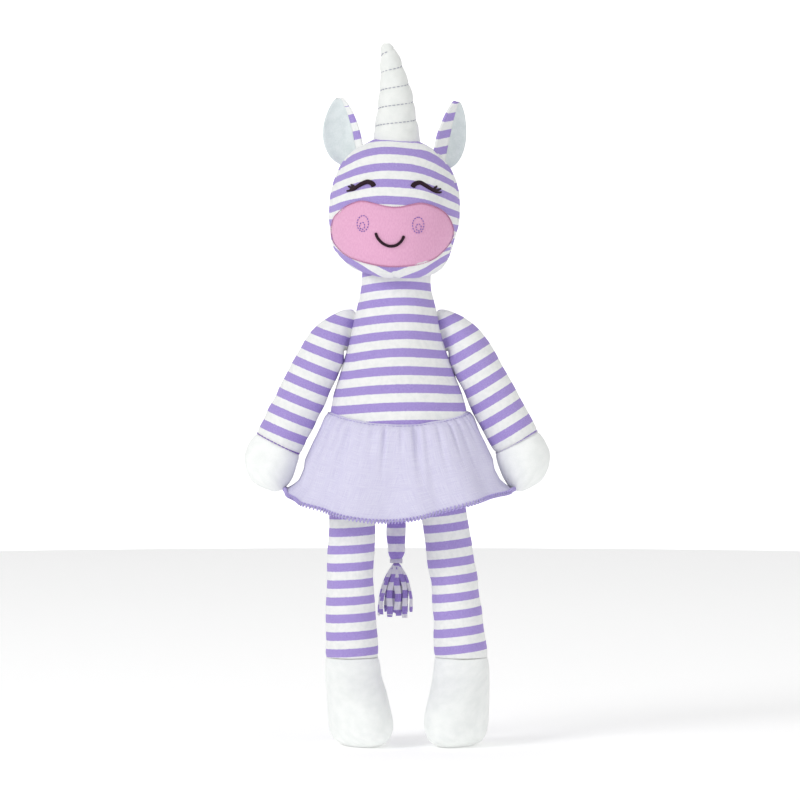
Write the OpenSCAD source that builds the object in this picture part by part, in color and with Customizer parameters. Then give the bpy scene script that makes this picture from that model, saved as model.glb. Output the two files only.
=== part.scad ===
// Plush unicorn doll, standing, with its arms hanging out to the sides.
// Units are millimetres. +Z is up, the doll faces -Y and its left side is +X.
// The origin is on the floor, under the middle of the doll.

/* [Head] */
// width of the head across the cheeks
head_w = 74.4; // [66:0.2:82]
// depth of the head from the muzzle to the back
head_d = 79.6; // [70:0.2:90]
// sideways tilt of the head, its top towards the doll's left
head_tilt = 2.5; // [0:0.5:4]
// radius of the neck
neck_r = 20; // [18:0.5:22]
// radius of the horn where it meets the crown
horn_r = 12.9; // [11:0.1:13]
// turns of the stitch line around the horn
horn_turns = 4.3; // [3:0.1:6]
// height of an ear above its root
ear_h = 34; // [28:1:38]
// half-width of an ear at its widest
ear_w = 10.8; // [9:0.1:12]

/* [Body] */
// half-width of the body at the waist
waist_r = 39.2; // [36:0.1:41]
// half-depth of the body at the waist
waist_d = 31.5; // [28:0.5:33]
// thickness of the jersey covers
cover_t = 1.2; // [0.8:0.1:1.6]
// gap between a cover and its filling
fill_gap = 0.4; // [0.3:0.1:0.8]

/* [Arms] */
// height of the shoulder centres
shoulder_z = 234; // [230:1:238]
// distance of a shoulder centre from the body's middle
shoulder_x = 36.5; // [36:0.5:40]
// angle of the right arm from vertical
arm_angle_right = 26.5; // [25:0.5:35]
// angle of the left arm from vertical
arm_angle_left = 28; // [26:0.5:35]
// half-width of a sleeve at its fullest
sleeve_r = 14; // [12:0.1:14.5]

/* [Legs] */
// height of the hip centres
hip_z = 137.5; // [134:0.5:138]
// half-width of a leg at the ankle seam
ankle_r = 15.2; // [13:0.1:16]
// height of the ankle seam
ankle_z = 50; // [44:1:54]
// turn of each foot towards the other
toe_in = 22; // [0:1:30]

/* [Skirt] */
// half-width of the skirt across its hem
hem_w = 61.4; // [56:1:68]
// half-depth of the skirt at its hem
hem_d = 46; // [40:1:50]
// height of the hem at the front
hem_z = 128.5; // [124:0.5:134]
// deep folds around the hem
hem_folds = 14; // [10:2:18]
// thickness of the skirt fabric
skirt_t = 0.8; // [0.6:0.1:1.2]

/* [Tail] */
// radius of the tail tube
tail_r = 5.4; // [4.5:0.1:5.5]
// height of the tie that closes the tail tube
tie_z = 103; // [98:1:108]
// strips cut into the tassel
tassel_strips = 9; // [7:1:11]

/* [Hidden] */

lilac = [0.66, 0.58, 0.83];
white = [0.95, 0.96, 0.95];
pink = [0.93, 0.72, 0.84];
lavender = [0.86, 0.85, 0.93];
fill = [0.92, 0.91, 0.88];
black = [0.16, 0.02, 0.1];
purple = [0.5, 0.36, 0.72];

// points around a head or body ring, around a limb ring, and around a thread
head_n = 32;
limb_n = 20;
thread_n = 4;

// centre of the ball that the neck bends on
neck_x = 0.4;
neck_z = 262;
neck_ball_r = 19;
neck_top = 279.8;

// top of the body, and the left-right middle of the body there
torso_top = 256;
torso_x = 0.3;

// each row of a body is a ring: [height, centre x, centre y, half-width, half-depth, shear]
head_stations = [
    [276.0, 0.0, 0.0, neck_r + 0.6, neck_r + 0.6, 0.12],
    [273.6, -0.5, -3.5, 0.65 * head_w / 2, 0.64 * head_d / 2, 0.24],
    [277.5, -2.0, -5.0, 0.81 * head_w / 2, 0.83 * head_d / 2, 0.20],
    [283.5, -3.2, -6.0, 0.9 * head_w / 2, 0.93 * head_d / 2, 0.14],
    [290.5, -3.3, -6.5, 0.95 * head_w / 2, 0.98 * head_d / 2, 0.09],
    [298.5, -3.0, -6.0, 0.99 * head_w / 2, head_d / 2, 0.05],
    [307.0, -2.8, -4.5, head_w / 2, 0.975 * head_d / 2, 0.02],
    [316.0, -2.8, -3.0, 0.98 * head_w / 2, 0.92 * head_d / 2, 0],
    [325.0, -3.0, -2.0, 0.91 * head_w / 2, 0.84 * head_d / 2, 0],
    [333.0, -3.2, -2.0, 0.79 * head_w / 2, 0.72 * head_d / 2, 0],
    [340.0, -3.3, -2.5, 0.6 * head_w / 2, 0.55 * head_d / 2, 0],
    [345.3, -3.3, -3.0, horn_r + 0.4, horn_r + 0.4, 0],
];

horn_stations = [
    [345.4, -3.3, -3.0, horn_r, horn_r, 0],
    [351.0, -3.6, -3.2, 0.98 * horn_r, 0.98 * horn_r, 0],
    [362.0, -4.3, -3.6, 0.83 * horn_r, 0.83 * horn_r, 0],
    [372.0, -5.0, -4.0, 0.74 * horn_r, 0.74 * horn_r, 0],
    [382.0, -6.8, -4.4, 0.58 * horn_r, 0.58 * horn_r, 0],
    [391.0, -8.9, -4.8, 0.46 * horn_r, 0.46 * horn_r, 0],
    [397.0, -10.5, -5.0, 0.33 * horn_r, 0.33 * horn_r, 0],
    [400.2, -11.3, -5.0, 0.12 * horn_r, 0.12 * horn_r, 0],
];

torso_stations = [
    [152.0, 1.5, 0, 0.3 * waist_r, 0.22 * waist_d, 0],
    [153.6, 1.5, 0, 0.62 * waist_r, 0.44 * waist_d, 0],
    [158.0, 1.8, 0, 0.87 * waist_r, 0.62 * waist_d, 0],
    [166.0, 2.0, 0, 1.01 * waist_r, 0.85 * waist_d, 0],
    [177.0, 2.2, 0, 1.05 * waist_r, waist_d, 0],
    [190.0, 2.1, 0, waist_r, waist_d, 0],
    [200.0, 1.4, 0, 0.94 * waist_r, 0.97 * waist_d, 0],
    [210.0, torso_x, 0, 0.83 * waist_r, 0.92 * waist_d, 0],
    [220.0, torso_x, 0, 0.72 * waist_r, 0.86 * waist_d, 0],
    [226.0, torso_x, 0, 23.2, 0.81 * waist_d, 0],
    [230.0, torso_x, 0, 21.6, 0.77 * waist_d, 0],
    [239.0, torso_x, 0, 21.4, 0.72 * waist_d, 0],
    [248.0, torso_x, 0, 22.0, 0.67 * waist_d, 0],
    [torso_top, torso_x, 0, neck_r + 0.8, neck_r + 0.2, 0],
];

// the tab's disc lies between the side of the body and the round end of a limb
dome_r = 13;
tab_t = 0.7;
tab_r = 5;
tab_gap = 0.4;

// arm rings below the shoulder centre: [height, centre x, centre y, half-width, half-depth, shear]
wrist_z = -69;
hand_stations = [
    [-96.0, 3.6, 0, 2, 2, 0],
    [-94.6, 3.3, 0, 7.6, 6.8, 0],
    [-90.5, 2.2, 0, 12.4, 11, 0],
    [-84.0, 0.8, 0, 15.2, 13, 0],
    [-76.5, 0.2, 0, 15.2, 13.2, 0],
    [wrist_z, 0, 0, 13.8, 12.8, 0],
];
sleeve_stations = [
    [wrist_z, 0, 0, 13.8, 12.8, 0],
    [-50.0, 0, 0, sleeve_r, 13, 0],
    [-32.0, 0, 0, 0.96 * sleeve_r, 12.8, 0],
    [-18.0, 0, 0, 0.9 * sleeve_r, 12.4, 0],
    [-8.0, 0, 0, 12.2, 12.2, 0],
];

// foot rings from the sole to the ankle: [height, centre x, centre y, half-width, half-length, shear]
foot_stations = [
    [0, 0, -9, 10.5, 18, 0],
    [1.8, 0, -9.5, 13.8, 22.5, 0],
    [6, 0, -10.5, 16.4, 25.6, 0],
    [13, 0, -11, 17.5, 26.4, 0],
    [22, 0, -10, 17.3, 25.2, 0],
    [31, 0, -7, 16.9, 21.8, 0],
    [40, 0, -3, 16.1, 17.6, 0],
    [ankle_z, 0, 0, ankle_r, 14.4, 0],
];

// the round end of a limb, from its equator to its tip: half-angles of its rings
dome_steps = [0, 25, 50, 74];

tail_x = 0.4;
tail_y = 27.3;
tail_z = 158;

function mix(a, b, f) = a + (b - a) * f;

// a smooth curve through four rows, between the second and the third
function curve(a, b, c, d, t) =
    0.5 * (2 * b + (c - a) * t + (2 * a - 5 * b + 4 * c - d) * t * t + (3 * b - a - 3 * c + d) * t * t * t);

// rows with one more row between each two stations
function fine(rows) = let (n = len(rows)) [
    for (i = [0 : n - 2])
        for (t = [0, 0.5])
            curve(rows[max(i - 1, 0)], rows[i], rows[i + 1], rows[min(i + 2, n - 1)], t),
    rows[n - 1]
];

// rows moved inwards by t along the normal of the profile
function inset(rows, t) = let (n = len(rows)) [
    for (i = [0 : n - 1])
        let (
            r = rows[i],
            d = rows[min(i + 1, n - 1)] - rows[max(i - 1, 0)],
            s = max(norm([d[0], d[3]]), 0.001),
            e = max(norm([d[0], d[4]]), 0.001)
        )
        [r[0] + t * d[3] / s, r[1], r[2], max(r[3] - t * d[0] / s, 0.4), max(r[4] - t * d[0] / e, 0.4), r[5]]
];

function ring_point(r, a) = [r[1] + r[3] * cos(a), r[2] + r[4] * sin(a), r[0] + r[5] * r[4] * sin(a)];

function ring(r, n, from = 0, to = 360) = [
    for (i = [0 : n - 1]) ring_point(r, from + (to - from) * i / n)
];

// one ring's points from angle a to angle b, both ends included
function arc(r, n, a, b) = [for (i = [0 : n]) ring_point(r, a + (b - a) * i / n)];

function turned(p, a) = [p[0] * cos(a) - p[1] * sin(a), p[0] * sin(a) + p[1] * cos(a), p[2]];

function unit(v) = v / max(norm(v), 0.0001);

// faces of a side: rows of n points, closed around when wrap is true
function side(rows, n, at, wrap, flip) = [
    for (i = [0 : rows - 2])
        for (j = [0 : wrap ? n - 1 : n - 2])
            let (
                a = at + i * n + j,
                b = at + i * n + (j + 1) % n,
                c = a + n,
                d = b + n
            )
            each (flip ? [[a, b, c], [c, b, d]] : [[a, c, b], [c, d, b]])
];

// faces that join edge p to edge q, both lists of point numbers
function rim(p, q) = [
    for (i = [0 : len(p) - 2])
        each [[p[i], p[i + 1], q[i + 1]], [p[i], q[i + 1], q[i]]]
];

function reversed(v) = [for (i = [len(v) - 1 : -1 : 0]) v[i]];

function run(at, n, wrap) = [for (j = [0 : wrap ? n : n - 1]) at + j % n];

function points(grid) = [for (row = grid) each row];

// a solid with flat ends through rings of equal length
module loft(grid) {
    n = len(grid[0]);
    m = len(grid);
    polyhedron(
        points(grid),
        concat(
            side(m, n, 0, true, false),
            [[for (j = [0 : n - 1]) j]],
            [[for (j = [n - 1 : -1 : 0]) (m - 1) * n + j]]
        )
    );
}

// a closed loop of rings
module loop(grid) {
    n = len(grid[0]);
    polyhedron(points(concat(grid, [grid[0]])), side(len(grid) + 1, n, 0, true, false));
}

// a sheet with thickness, between an outer and an inner grid
module shell(outer, inner, wrap) {
    n = len(outer[0]);
    m = len(outer);
    k = m * n;
    top = (m - 1) * n;
    ends = wrap ? [] : concat(
        rim([for (i = [m - 1 : -1 : 0]) i * n], [for (i = [m - 1 : -1 : 0]) k + i * n]),
        rim([for (i = [0 : m - 1]) i * n + n - 1], [for (i = [0 : m - 1]) k + i * n + n - 1])
    );
    polyhedron(
        concat(points(outer), points(inner)),
        concat(
            side(m, n, 0, wrap, false),
            side(m, n, k, wrap, true),
            rim(run(0, n, wrap), run(k, n, wrap)),
            rim(reversed(run(top, n, wrap)), reversed(run(k + top, n, wrap))),
            ends
        )
    );
}

// a sheet closed at the bottom and open at the top
module cup(outer, inner) {
    n = len(outer[0]);
    m = len(outer);
    k = m * n;
    top = (m - 1) * n;
    polyhedron(
        concat(points(outer), points(inner)),
        concat(
            side(m, n, 0, true, false),
            side(m, n, k, true, true),
            [[for (j = [0 : n - 1]) j]],
            [[for (j = [n - 1 : -1 : 0]) k + j]],
            rim(reversed(run(top, n, true)), reversed(run(k + top, n, true)))
        )
    );
}

// a sheet closed at the top and open at the bottom
module cap(outer, inner) {
    n = len(outer[0]);
    m = len(outer);
    k = m * n;
    polyhedron(
        concat(points(outer), points(inner)),
        concat(
            side(m, n, 0, true, false),
            side(m, n, k, true, true),
            [[for (j = [n - 1 : -1 : 0]) k - n + j]],
            [[for (j = [0 : n - 1]) 2 * k - n + j]],
            rim(run(0, n, true), run(k, n, true))
        )
    );
}

// rings of a thread along a path; facing is a direction that is never along the path
function thread_rings(path, r, facing, closed = false) = let (m = len(path)) [
    for (i = [0 : m - 1])
        let (
            before = closed ? path[(i + m - 1) % m] : path[max(i - 1, 0)],
            after = closed ? path[(i + 1) % m] : path[min(i + 1, m - 1)],
            t = unit(after - before),
            b = unit(cross(t, facing)),
            c = cross(t, b)
        )
        [for (j = [0 : thread_n - 1]) path[i] + r * (cos(360 * j / thread_n) * b + sin(360 * j / thread_n) * c)]
];

module thread(path, r, facing) {
    loft(thread_rings(path, r, facing));
}

module tilted() {
    translate([neck_x, 0, neck_z])
        rotate([0, head_tilt, 0])
            translate([0, 0, -neck_z])
                children();
}

head_rows = fine(head_stations);
head_inner = inset(head_rows, cover_t);
head_fill = inset(head_rows, cover_t + fill_gap);

// the row number of the head's ring at a height
function head_u(t) = lookup(t, [for (i = [2 : len(head_rows) - 1]) [head_rows[i][0], i]]);

function row_at(rows, u) = let (i = min(floor(u), len(rows) - 2)) mix(rows[i], rows[i + 1], u - i);

function front_angle(r, x) = -acos(max(min((x - r[1]) / r[3], 0.999), -0.999));

// the ring height that holds the front point at x and z, found in n steps
function front_t(x, z, t, n) = n == 0 ? t : let (
    r = row_at(head_rows, head_u(t)),
    a = front_angle(r, x)
) front_t(x, z, z - r[5] * r[4] * sin(a), n - 1);

// the point of the face at x and z, lifted off the cover
function on_face(x, z, lift) = let (
    u = head_u(front_t(x, z, z, 5)),
    a = front_angle(row_at(head_rows, u), x)
) ring_point(row_at(inset(head_rows, -lift), u), a);

// front panel from ear line to ear line, back panels to the centre back seam
ear_line = 11.25;

module head_panel(n, a, b) {
    color(lilac)
        tilted()
            shell(
                [for (r = head_rows) arc(r, n, a, b)],
                [for (r = head_inner) arc(r, n, a, b)],
                false
            );
}

module head_front() head_panel(14, 180 + ear_line, 360 - ear_line);

module head_back_left() head_panel(9, -ear_line, 90);

module head_back_right() head_panel(9, 90, 180 + ear_line);

module head_stuffing() {
    recess = neck_top + 0.8;
    top = head_fill[len(head_fill) - 1];
    rows = concat(
        [[recess, 0, 0, 1, 1, 0]],
        [[recess, 0, 0, neck_r + 0.7, neck_r + 0.7, 0]],
        head_fill,
        [[top[0], top[1], top[2], 1, 1, 0]]
    );
    color(fill)
        tilted()
            loft([for (r = rows) ring(r, head_n)]);
}

// muzzle patch: its edges as heights over its width, s from -1 to 1
muzzle_t = 0.7;
muzzle_lift = 0.5;
muzzle_turn = 78;
muzzle_mid = 295.5;

function muzzle_top(s) = muzzle_mid + 14.6 * pow(1 - s * s, 0.5) - 3.4 * exp(-pow(s / 0.24, 2));

function muzzle_bottom(s) = muzzle_mid - 1.5 - 18.6 * pow(1 - pow(abs(s), 2.6), 0.62);

function muzzle_point(s, f, lift) = let (
    t = mix(muzzle_bottom(s), muzzle_top(s), f),
    a = 270 + muzzle_turn * s
) ring_point(row_at(inset(head_rows, -lift), head_u(t)), a);

module muzzle_patch() {
    columns = 26;
    rows = 8;
    grid = function (lift) [
        for (i = [0 : rows])
            [for (j = [0 : columns]) muzzle_point(-1 + 2 * j / columns, i / rows, lift)]
    ];
    color(pink)
        tilted()
            shell(grid(muzzle_lift + muzzle_t), grid(muzzle_lift), false);
}

// closed eye: an arc with three lashes at its outer end
eye_thread = 0.8;
eye_lift = 1;

module eye(x, z, half, drop, out) {
    arc_path = [
        for (i = [-4 : 4]) on_face(x + half * i / 4, z - drop * pow(i / 4, 2), eye_lift)
    ];
    color(black)
        tilted() {
            thread(arc_path, eye_thread, [0, 1, 0]);
            for (k = [0 : 2])
                thread(
                    [
                        for (f = [0, 0.5, 1])
                            on_face(x + out * (half * (1 - 0.16 * k) + 3.2 * f), z - drop * 0.9 + 1.1 * k + f * 2.1, eye_lift)
                    ],
                    0.55,
                    [0, 1, 0]
                );
        }
}

module eye_left() eye(13.4, 322.2, 7.2, 4.4, 1);

module eye_right() eye(-21.8, 321.4, 7, 4.6, -1);

// nostril: an open spiral of stitching
nostril_r = 3.9;

module nostril(x, z, turn) {
    color(purple)
        tilted()
            thread(
                [
                    for (i = [0 : 20])
                        let (a = 540 * i / 20, r = nostril_r * (0.3 + 0.7 * i / 20))
                        on_face(x + turn * r * cos(a), z + 1.2 * r * sin(a), muzzle_lift + muzzle_t + 0.75)
                ],
                0.5,
                [0, 1, 0]
            );
}

module nostril_left() nostril(11.1, 297.6, 1);

module nostril_right() nostril(-20.2, 297.2, -1);

module mouth() {
    color(black)
        tilted()
            thread(
                [
                    for (i = [-6 : 6])
                        on_face(-4.8 + 8.1 * sin(15 * i), 293.2 - 8.5 * cos(13.5 * i), muzzle_lift + muzzle_t + 1.1)
                ],
                0.85,
                [0, 1, 0]
            );
}

module horn_cover() {
    inner = inset(horn_stations, cover_t);
    color(white)
        tilted()
            cap([for (r = horn_stations) ring(r, limb_n)], [for (r = inner) ring(r, limb_n)]);
}

module horn_stuffing() {
    rows = inset(horn_stations, cover_t + fill_gap);
    color(fill)
        tilted()
            loft([for (i = [0 : len(rows) - 3]) ring(rows[i], limb_n)]);
}

// the stitch line climbs from the base to just under the tip
module horn_thread() {
    steps = 60;
    low = 352.6;
    high = 396;
    keyed = [for (i = [0 : len(horn_stations) - 1]) [horn_stations[i][0], i]];
    path = [
        for (i = [0 : steps])
            let (r = row_at(inset(horn_stations, -0.75), lookup(mix(low, high, i / steps), keyed)))
            ring_point(r, 180 + 360 * horn_turns * i / steps)
    ];
    color([0.62, 0.63, 0.68])
        tilted()
            thread(path, 0.4, [0, 0, 1]);
}

// ear: two leaves sewn at the edge, cupped to the front; f runs up the ear, s across it
function ear_half(f) = ear_w * (0.36 + 0.64 * sin(180 * pow(f, 0.62))) * sqrt(max(1 - pow(f, 5), 0.012));

function ear_point(f, s, layer) = let (w = ear_half(f)) [
    w * s,
    -0.16 * w * s * s + layer * (0.5 + 1.5 * (1 - s * s)),
    ear_h * f
];

function ear_grid(layer) = [
    for (i = [0 : 9])
        [for (j = [0 : 8]) ear_point(i / 9, -1 + j / 4, layer)]
];

module ear_place(x, z, lean, turn) {
    tilted()
        translate([x, 1, z])
            rotate([0, lean, 0])
                rotate([0, 0, turn])
                    children();
}

module at_ear_left() ear_place(28.6, 339.6, 8, 48) children();

module at_ear_right() ear_place(-36, 337.6, -2, -14) children();

module ear_outer() color(lilac) shell(ear_grid(0.08), ear_grid(1), false);

module ear_lining() color(white) shell(ear_grid(-1), ear_grid(-0.08), false);

module ear_left_outer() at_ear_left() ear_outer();

module ear_left_lining() at_ear_left() ear_lining();

module ear_right_outer() at_ear_right() ear_outer();

module ear_right_lining() at_ear_right() ear_lining();

neck_low = 265;

module neck_cover() {
    rows = [for (z = [neck_low, 271, neck_top]) [z, 0, 0, neck_r, neck_r, 0]];
    inner = [for (r = rows) r - [0, 0, 0, cover_t, cover_t, 0]];
    color(lilac)
        tilted()
            shell([for (r = rows) ring(r, head_n)], [for (r = inner) ring(r, head_n)], true);
}

module neck_stuffing() {
    r = neck_r - cover_t - fill_gap;
    rows = concat(
        [for (a = [-84, -68, -52, -36, -20, 0]) [neck_z + neck_ball_r * sin(a), 0, 0, neck_ball_r * cos(a), neck_ball_r * cos(a), 0]],
        [[neck_low, 0, 0, r, r, 0]],
        [[neck_top, 0, 0, r, r, 0]]
    );
    color(fill)
        tilted()
            loft([for (q = rows) ring(q, head_n)]);
}

module torso_panel(a, b) {
    inner = inset(torso_stations, cover_t);
    n = head_n / 2;
    outer_grid = [for (r = torso_stations) arc(r, n, a, b)];
    inner_grid = [for (r = inner) arc(r, n, a, b)];
    color(lilac)
        shell(outer_grid, inner_grid, false);
}

module torso_front() torso_panel(180, 360);

module torso_back() torso_panel(0, 180);

// the top of the filling is hollowed for the ball of the neck
module torso_stuffing() {
    hollow = neck_ball_r + 0.6;
    body = inset(torso_stations, cover_t + fill_gap);
    steps = [for (a = [-22, -38, -54, -70, -85]) [neck_z + hollow * sin(a), neck_x, 0, hollow * cos(a), hollow * cos(a), 0]];
    color(fill)
        loft([for (r = concat(body, steps)) ring(r, head_n)]);
}

// skirt: f runs from the hem to the waist, a goes around
skirt_n = 56;
skirt_rows = 7;

// how far the skirt has spread at each side, where the arms hang, over its height from waist to hem
side_flare = [[0, 0], [0.2, 0.13], [0.4, 0.34], [0.62, 0.57], [0.74, 0.61], [0.87, 0.72], [1, 0.98]];

function waist_line(a) = 184.6 + 6 * pow(cos(a), 2);

function hem_line(a) = hem_z + 1.5 * (1 + sin(a)) + 16 * pow(cos(a), 2);

function skirt_point(f, a, out) = let (
    w = 1 - f,
    flare = mix(0.92 * w + 0.08 * pow(w, 3), lookup(w, side_flare), pow(cos(a), 4)),
    fold = 2.1 * pow(w, 0.8) * cos(hem_folds * a) * (0.35 + 0.65 * pow(sin(a), 2)),
    corner = 1 + 0.09 * w * pow(sin(2 * a), 2),
    rx = (mix(waist_r + 0.6, hem_w, flare) + fold) * corner + out,
    ry = (mix(waist_d + 0.6, hem_d, flare) + fold) * corner + out
) [2.1 + rx * cos(a), ry * sin(a), mix(hem_line(a), waist_line(a), f)];

function skirt_grid(out) = [
    for (i = [0 : skirt_rows])
        [for (j = [0 : skirt_n - 1]) skirt_point(i / skirt_rows, 360 * j / skirt_n, out)]
];

module skirt() {
    color(lavender)
        shell(skirt_grid(skirt_t), skirt_grid(0), true);
}

module skirt_hem() {
    path = [for (j = [0 : skirt_n - 1]) skirt_point(0, 360 * j / skirt_n, skirt_t / 2) - [0, 0, 1]];
    color(purple)
        loop(thread_rings(path, 0.85, [0, 0, 1], true));
}

module skirt_gather() {
    path = [for (j = [0 : skirt_n - 1]) skirt_point(0.97, 360 * j / skirt_n, skirt_t + 0.4)];
    color(lavender)
        loop(thread_rings(path, 0.3, [0, 0, 1], true));
}

// rings of a limb's round end
function dome(x) = [for (a = dome_steps) [dome_r * sin(a), x, 0, dome_r * cos(a), dome_r * cos(a), 0]];

sleeve_rows = concat(sleeve_stations, dome(0));

// side is 1 for the left arm and -1 for the right
module at_arm(side) {
    translate([torso_x + side * shoulder_x, 0, shoulder_z])
        rotate([0, side > 0 ? -arm_angle_left : arm_angle_right, 0])
            scale([-side, 1, 1])
                children();
}

// how far a hand leans in under its sleeve
function hand_rows(side) = [
    for (r = hand_stations) r + [0, (side > 0 ? 1 : 0) * (wrist_z - r[0]) / 24, 0, 0, 0, 0]
];

module sleeve(side) {
    inner = inset(sleeve_rows, cover_t);
    color(lilac)
        at_arm(side)
            cap([for (r = sleeve_rows) ring(r, limb_n)], [for (r = inner) ring(r, limb_n)]);
}

module hand(side) {
    rows = hand_rows(side);
    inner = inset(rows, cover_t);
    top = len(rows) - 1;
    level = concat([for (i = [0 : top - 1]) inner[i]], [rows[top] - [0, 0, 0, cover_t, cover_t, 0]]);
    color(white)
        at_arm(side)
            cup([for (r = rows) ring(r, limb_n)], [for (r = level) ring(r, limb_n)]);
}

module arm_stuffing(side) {
    rows = inset(
        concat([for (r = hand_rows(side)) if (r[0] < wrist_z) r], sleeve_rows),
        cover_t + fill_gap + 0.2
    );
    color(fill)
        at_arm(side)
            loft([for (r = rows) ring(r, limb_n)]);
}

module wrist_thread(side) {
    path = [for (j = [0 : limb_n - 1]) ring_point([wrist_z, 0, 0, 14.35, 13.35, 0], 360 * j / limb_n)];
    color(purple)
        at_arm(side)
            loop(thread_rings(path, 0.4, [0, 0, 1], true));
}

module arm_tab(side) {
    color(white)
        translate([torso_x + side * (shoulder_x - dome_r - tab_gap - tab_t / 2), 0, shoulder_z])
            rotate([0, 90, 0])
                cylinder(h = tab_t, r = tab_r, center = true, $fn = 48);
}

module arm_left_tab() arm_tab(1);

module arm_left_sleeve() sleeve(1);

module arm_left_hand() hand(1);

module arm_left_stuffing() arm_stuffing(1);

module arm_left_thread() wrist_thread(1);

module arm_right_tab() arm_tab(-1);

module arm_right_sleeve() sleeve(-1);

module arm_right_hand() hand(-1);

module arm_right_stuffing() arm_stuffing(-1);

module arm_right_thread() wrist_thread(-1);

// x of each leg's middle at the hip, the knee and the ankle, and how far its foot leans in
hip_left = 26.8;
hip_right = -24.2;
leg_line_left = [hip_left, 33.8, 37.6];
leg_line_right = [hip_right, -26.2, -24.8];
knee_z = 92;
foot_in_left = -1.2;
foot_in_right = 1.2;

function leg_x(line, z) = lookup(z, [[ankle_z, line[2]], [knee_z, line[1]], [hip_z, line[0]]]);

function tube_rows(line) = concat(
    [
        for (s = [[ankle_z, ankle_r, 14.4], [60, 14.9, 14.1], [74, 14.1, 13.6], [knee_z, 13.5, 13.2], [108, 13.5, 13.1], [126, 13.2, 13]])
            [s[0], leg_x(line, s[0]), 0, s[1], s[2], 0]
    ],
    [for (r = dome(line[0])) r + [hip_z, 0, 0, 0, 0, 0]]
);

// a foot ring turned inwards, easing back to the ankle's ring at the top
function foot_ring(r, side, line, lean) = let (
    up = pow(min(r[0] / ankle_z, 1), 2),
    turn = side * toe_in * (1 - up)
) [
    for (p = ring(r, limb_n, turn, 360 + turn))
        turned([p[0], p[1], 0], -turn) + [line[2] - side * lean * (1 - up), 0, p[2]]
];

module tube(side, line) {
    rows = tube_rows(line);
    inner = inset(rows, cover_t);
    level = concat([rows[0] - [0, 0, 0, cover_t, cover_t, 0]], [for (i = [1 : len(rows) - 1]) inner[i]]);
    color(lilac)
        cap([for (r = rows) ring(r, limb_n)], [for (r = level) ring(r, limb_n)]);
}

module foot(side, line, lean) {
    inner = inset(foot_stations, cover_t);
    top = len(inner) - 1;
    level = concat([for (i = [0 : top - 1]) inner[i]], [foot_stations[top] - [0, 0, 0, cover_t, cover_t, 0]]);
    color(white)
        cup(
            [for (r = foot_stations) foot_ring(r, side, line, lean)],
            [for (r = level) foot_ring(r, side, line, lean)]
        );
}

module leg_stuffing(side, line, lean) {
    gap = cover_t + fill_gap + 0.2;
    feet = inset(foot_stations, gap);
    upper = inset(tube_rows(line), gap);
    color(fill)
        loft(concat(
            [for (i = [0 : len(feet) - 2]) foot_ring(feet[i], side, line, lean)],
            [ring([ankle_z, line[2], 0, ankle_r - gap, 14.4 - gap, 0], limb_n)],
            [for (i = [1 : len(upper) - 1]) ring(upper[i], limb_n)]
        ));
}

module leg_tab(side, hip) {
    color(white)
        translate([hip - side * (dome_r + tab_gap + tab_t / 2), 0, hip_z])
            rotate([0, 90, 0])
                cylinder(h = tab_t, r = tab_r, center = true, $fn = 48);
}

module leg_left_tab() leg_tab(1, hip_left);

module leg_left_tube() tube(1, leg_line_left);

module leg_left_foot() foot(1, leg_line_left, foot_in_left);

module leg_left_stuffing() leg_stuffing(1, leg_line_left, foot_in_left);

module leg_right_tab() leg_tab(-1, hip_right);

module leg_right_tube() tube(-1, leg_line_right);

module leg_right_foot() foot(-1, leg_line_right, foot_in_right);

module leg_right_stuffing() leg_stuffing(-1, leg_line_right, foot_in_right);

// the tail hangs from the seat, its tube closed by the tie
tail_n = 16;
tail_rows = concat(
    [
        for (s = [[tie_z + 2.4, 0.62], [110, 0.95], [118, 1], [130, 1], [144, 0.98]])
            [s[0], tail_x, tail_y, s[1] * tail_r, s[1] * tail_r, 0]
    ],
    [for (a = [0, 30, 55, 76]) [tail_z + tail_r * sin(a), tail_x, tail_y, tail_r * cos(a), tail_r * cos(a), 0]]
);

module tail_tube() {
    inner = inset(tail_rows, 0.9);
    level = concat([tail_rows[0] - [0, 0, 0, 0.9, 0.9, 0]], [for (i = [1 : len(inner) - 1]) inner[i]]);
    color(lilac)
        cap([for (r = tail_rows) ring(r, tail_n)], [for (r = level) ring(r, tail_n)]);
}

module tail_stuffing() {
    rows = inset(tail_rows, 0.9 + fill_gap);
    color(fill)
        loft([for (i = [1 : len(rows) - 1]) ring(rows[i], tail_n)]);
}

// two turns of thread around the neck of the tassel
module tail_tie() {
    color(lavender)
        translate([tail_x, tail_y, tie_z])
            rotate_extrude($fn = 48)
                translate([3.4, 0])
                    union() {
                        translate([0, -0.75]) circle(r = 0.8, $fn = 24);
                        translate([0, 0.75]) circle(r = 0.8, $fn = 24);
                    }
}

// one cut strip, from the tie down to its ragged end
tassel_low = 73.5;

module strip(k) {
    a = 360 * k / tassel_strips;
    spread = [9 * cos(a) + 0.2, 7 * sin(a)];
    drop = 3 * (k % 3) / 2;
    mid = [tail_x + 0.62 * spread[0], tail_y + 0.62 * spread[1], mix(tassel_low, tie_z, 0.55)];
    low = [tail_x + spread[0], tail_y + spread[1], tassel_low + drop];
    top = [tail_x + cos(a), tail_y + sin(a), tie_z - 2.2];
    across = [-sin(a), cos(a), 0];
    away = [cos(a), sin(a), 0];
    loft([
        for (q = [[low, 1.7, 0.7], [mid, 2.1, 0.8], [top, 1, 0.7]])
            [
                for (c = [[-1, -1], [-1, 1], [1, 1], [1, -1]])
                    q[0] + c[0] * q[1] * across + c[1] * q[2] * away
            ]
    ]);
}

module tail_tassel() {
    color(purple) {
        translate([tail_x, tail_y, tie_z - 9])
            cylinder(h = 11, r1 = 2.4, r2 = 1.8, $fn = 12);
        for (k = [0 : tassel_strips - 1])
            strip(k);
    }
}

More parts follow.
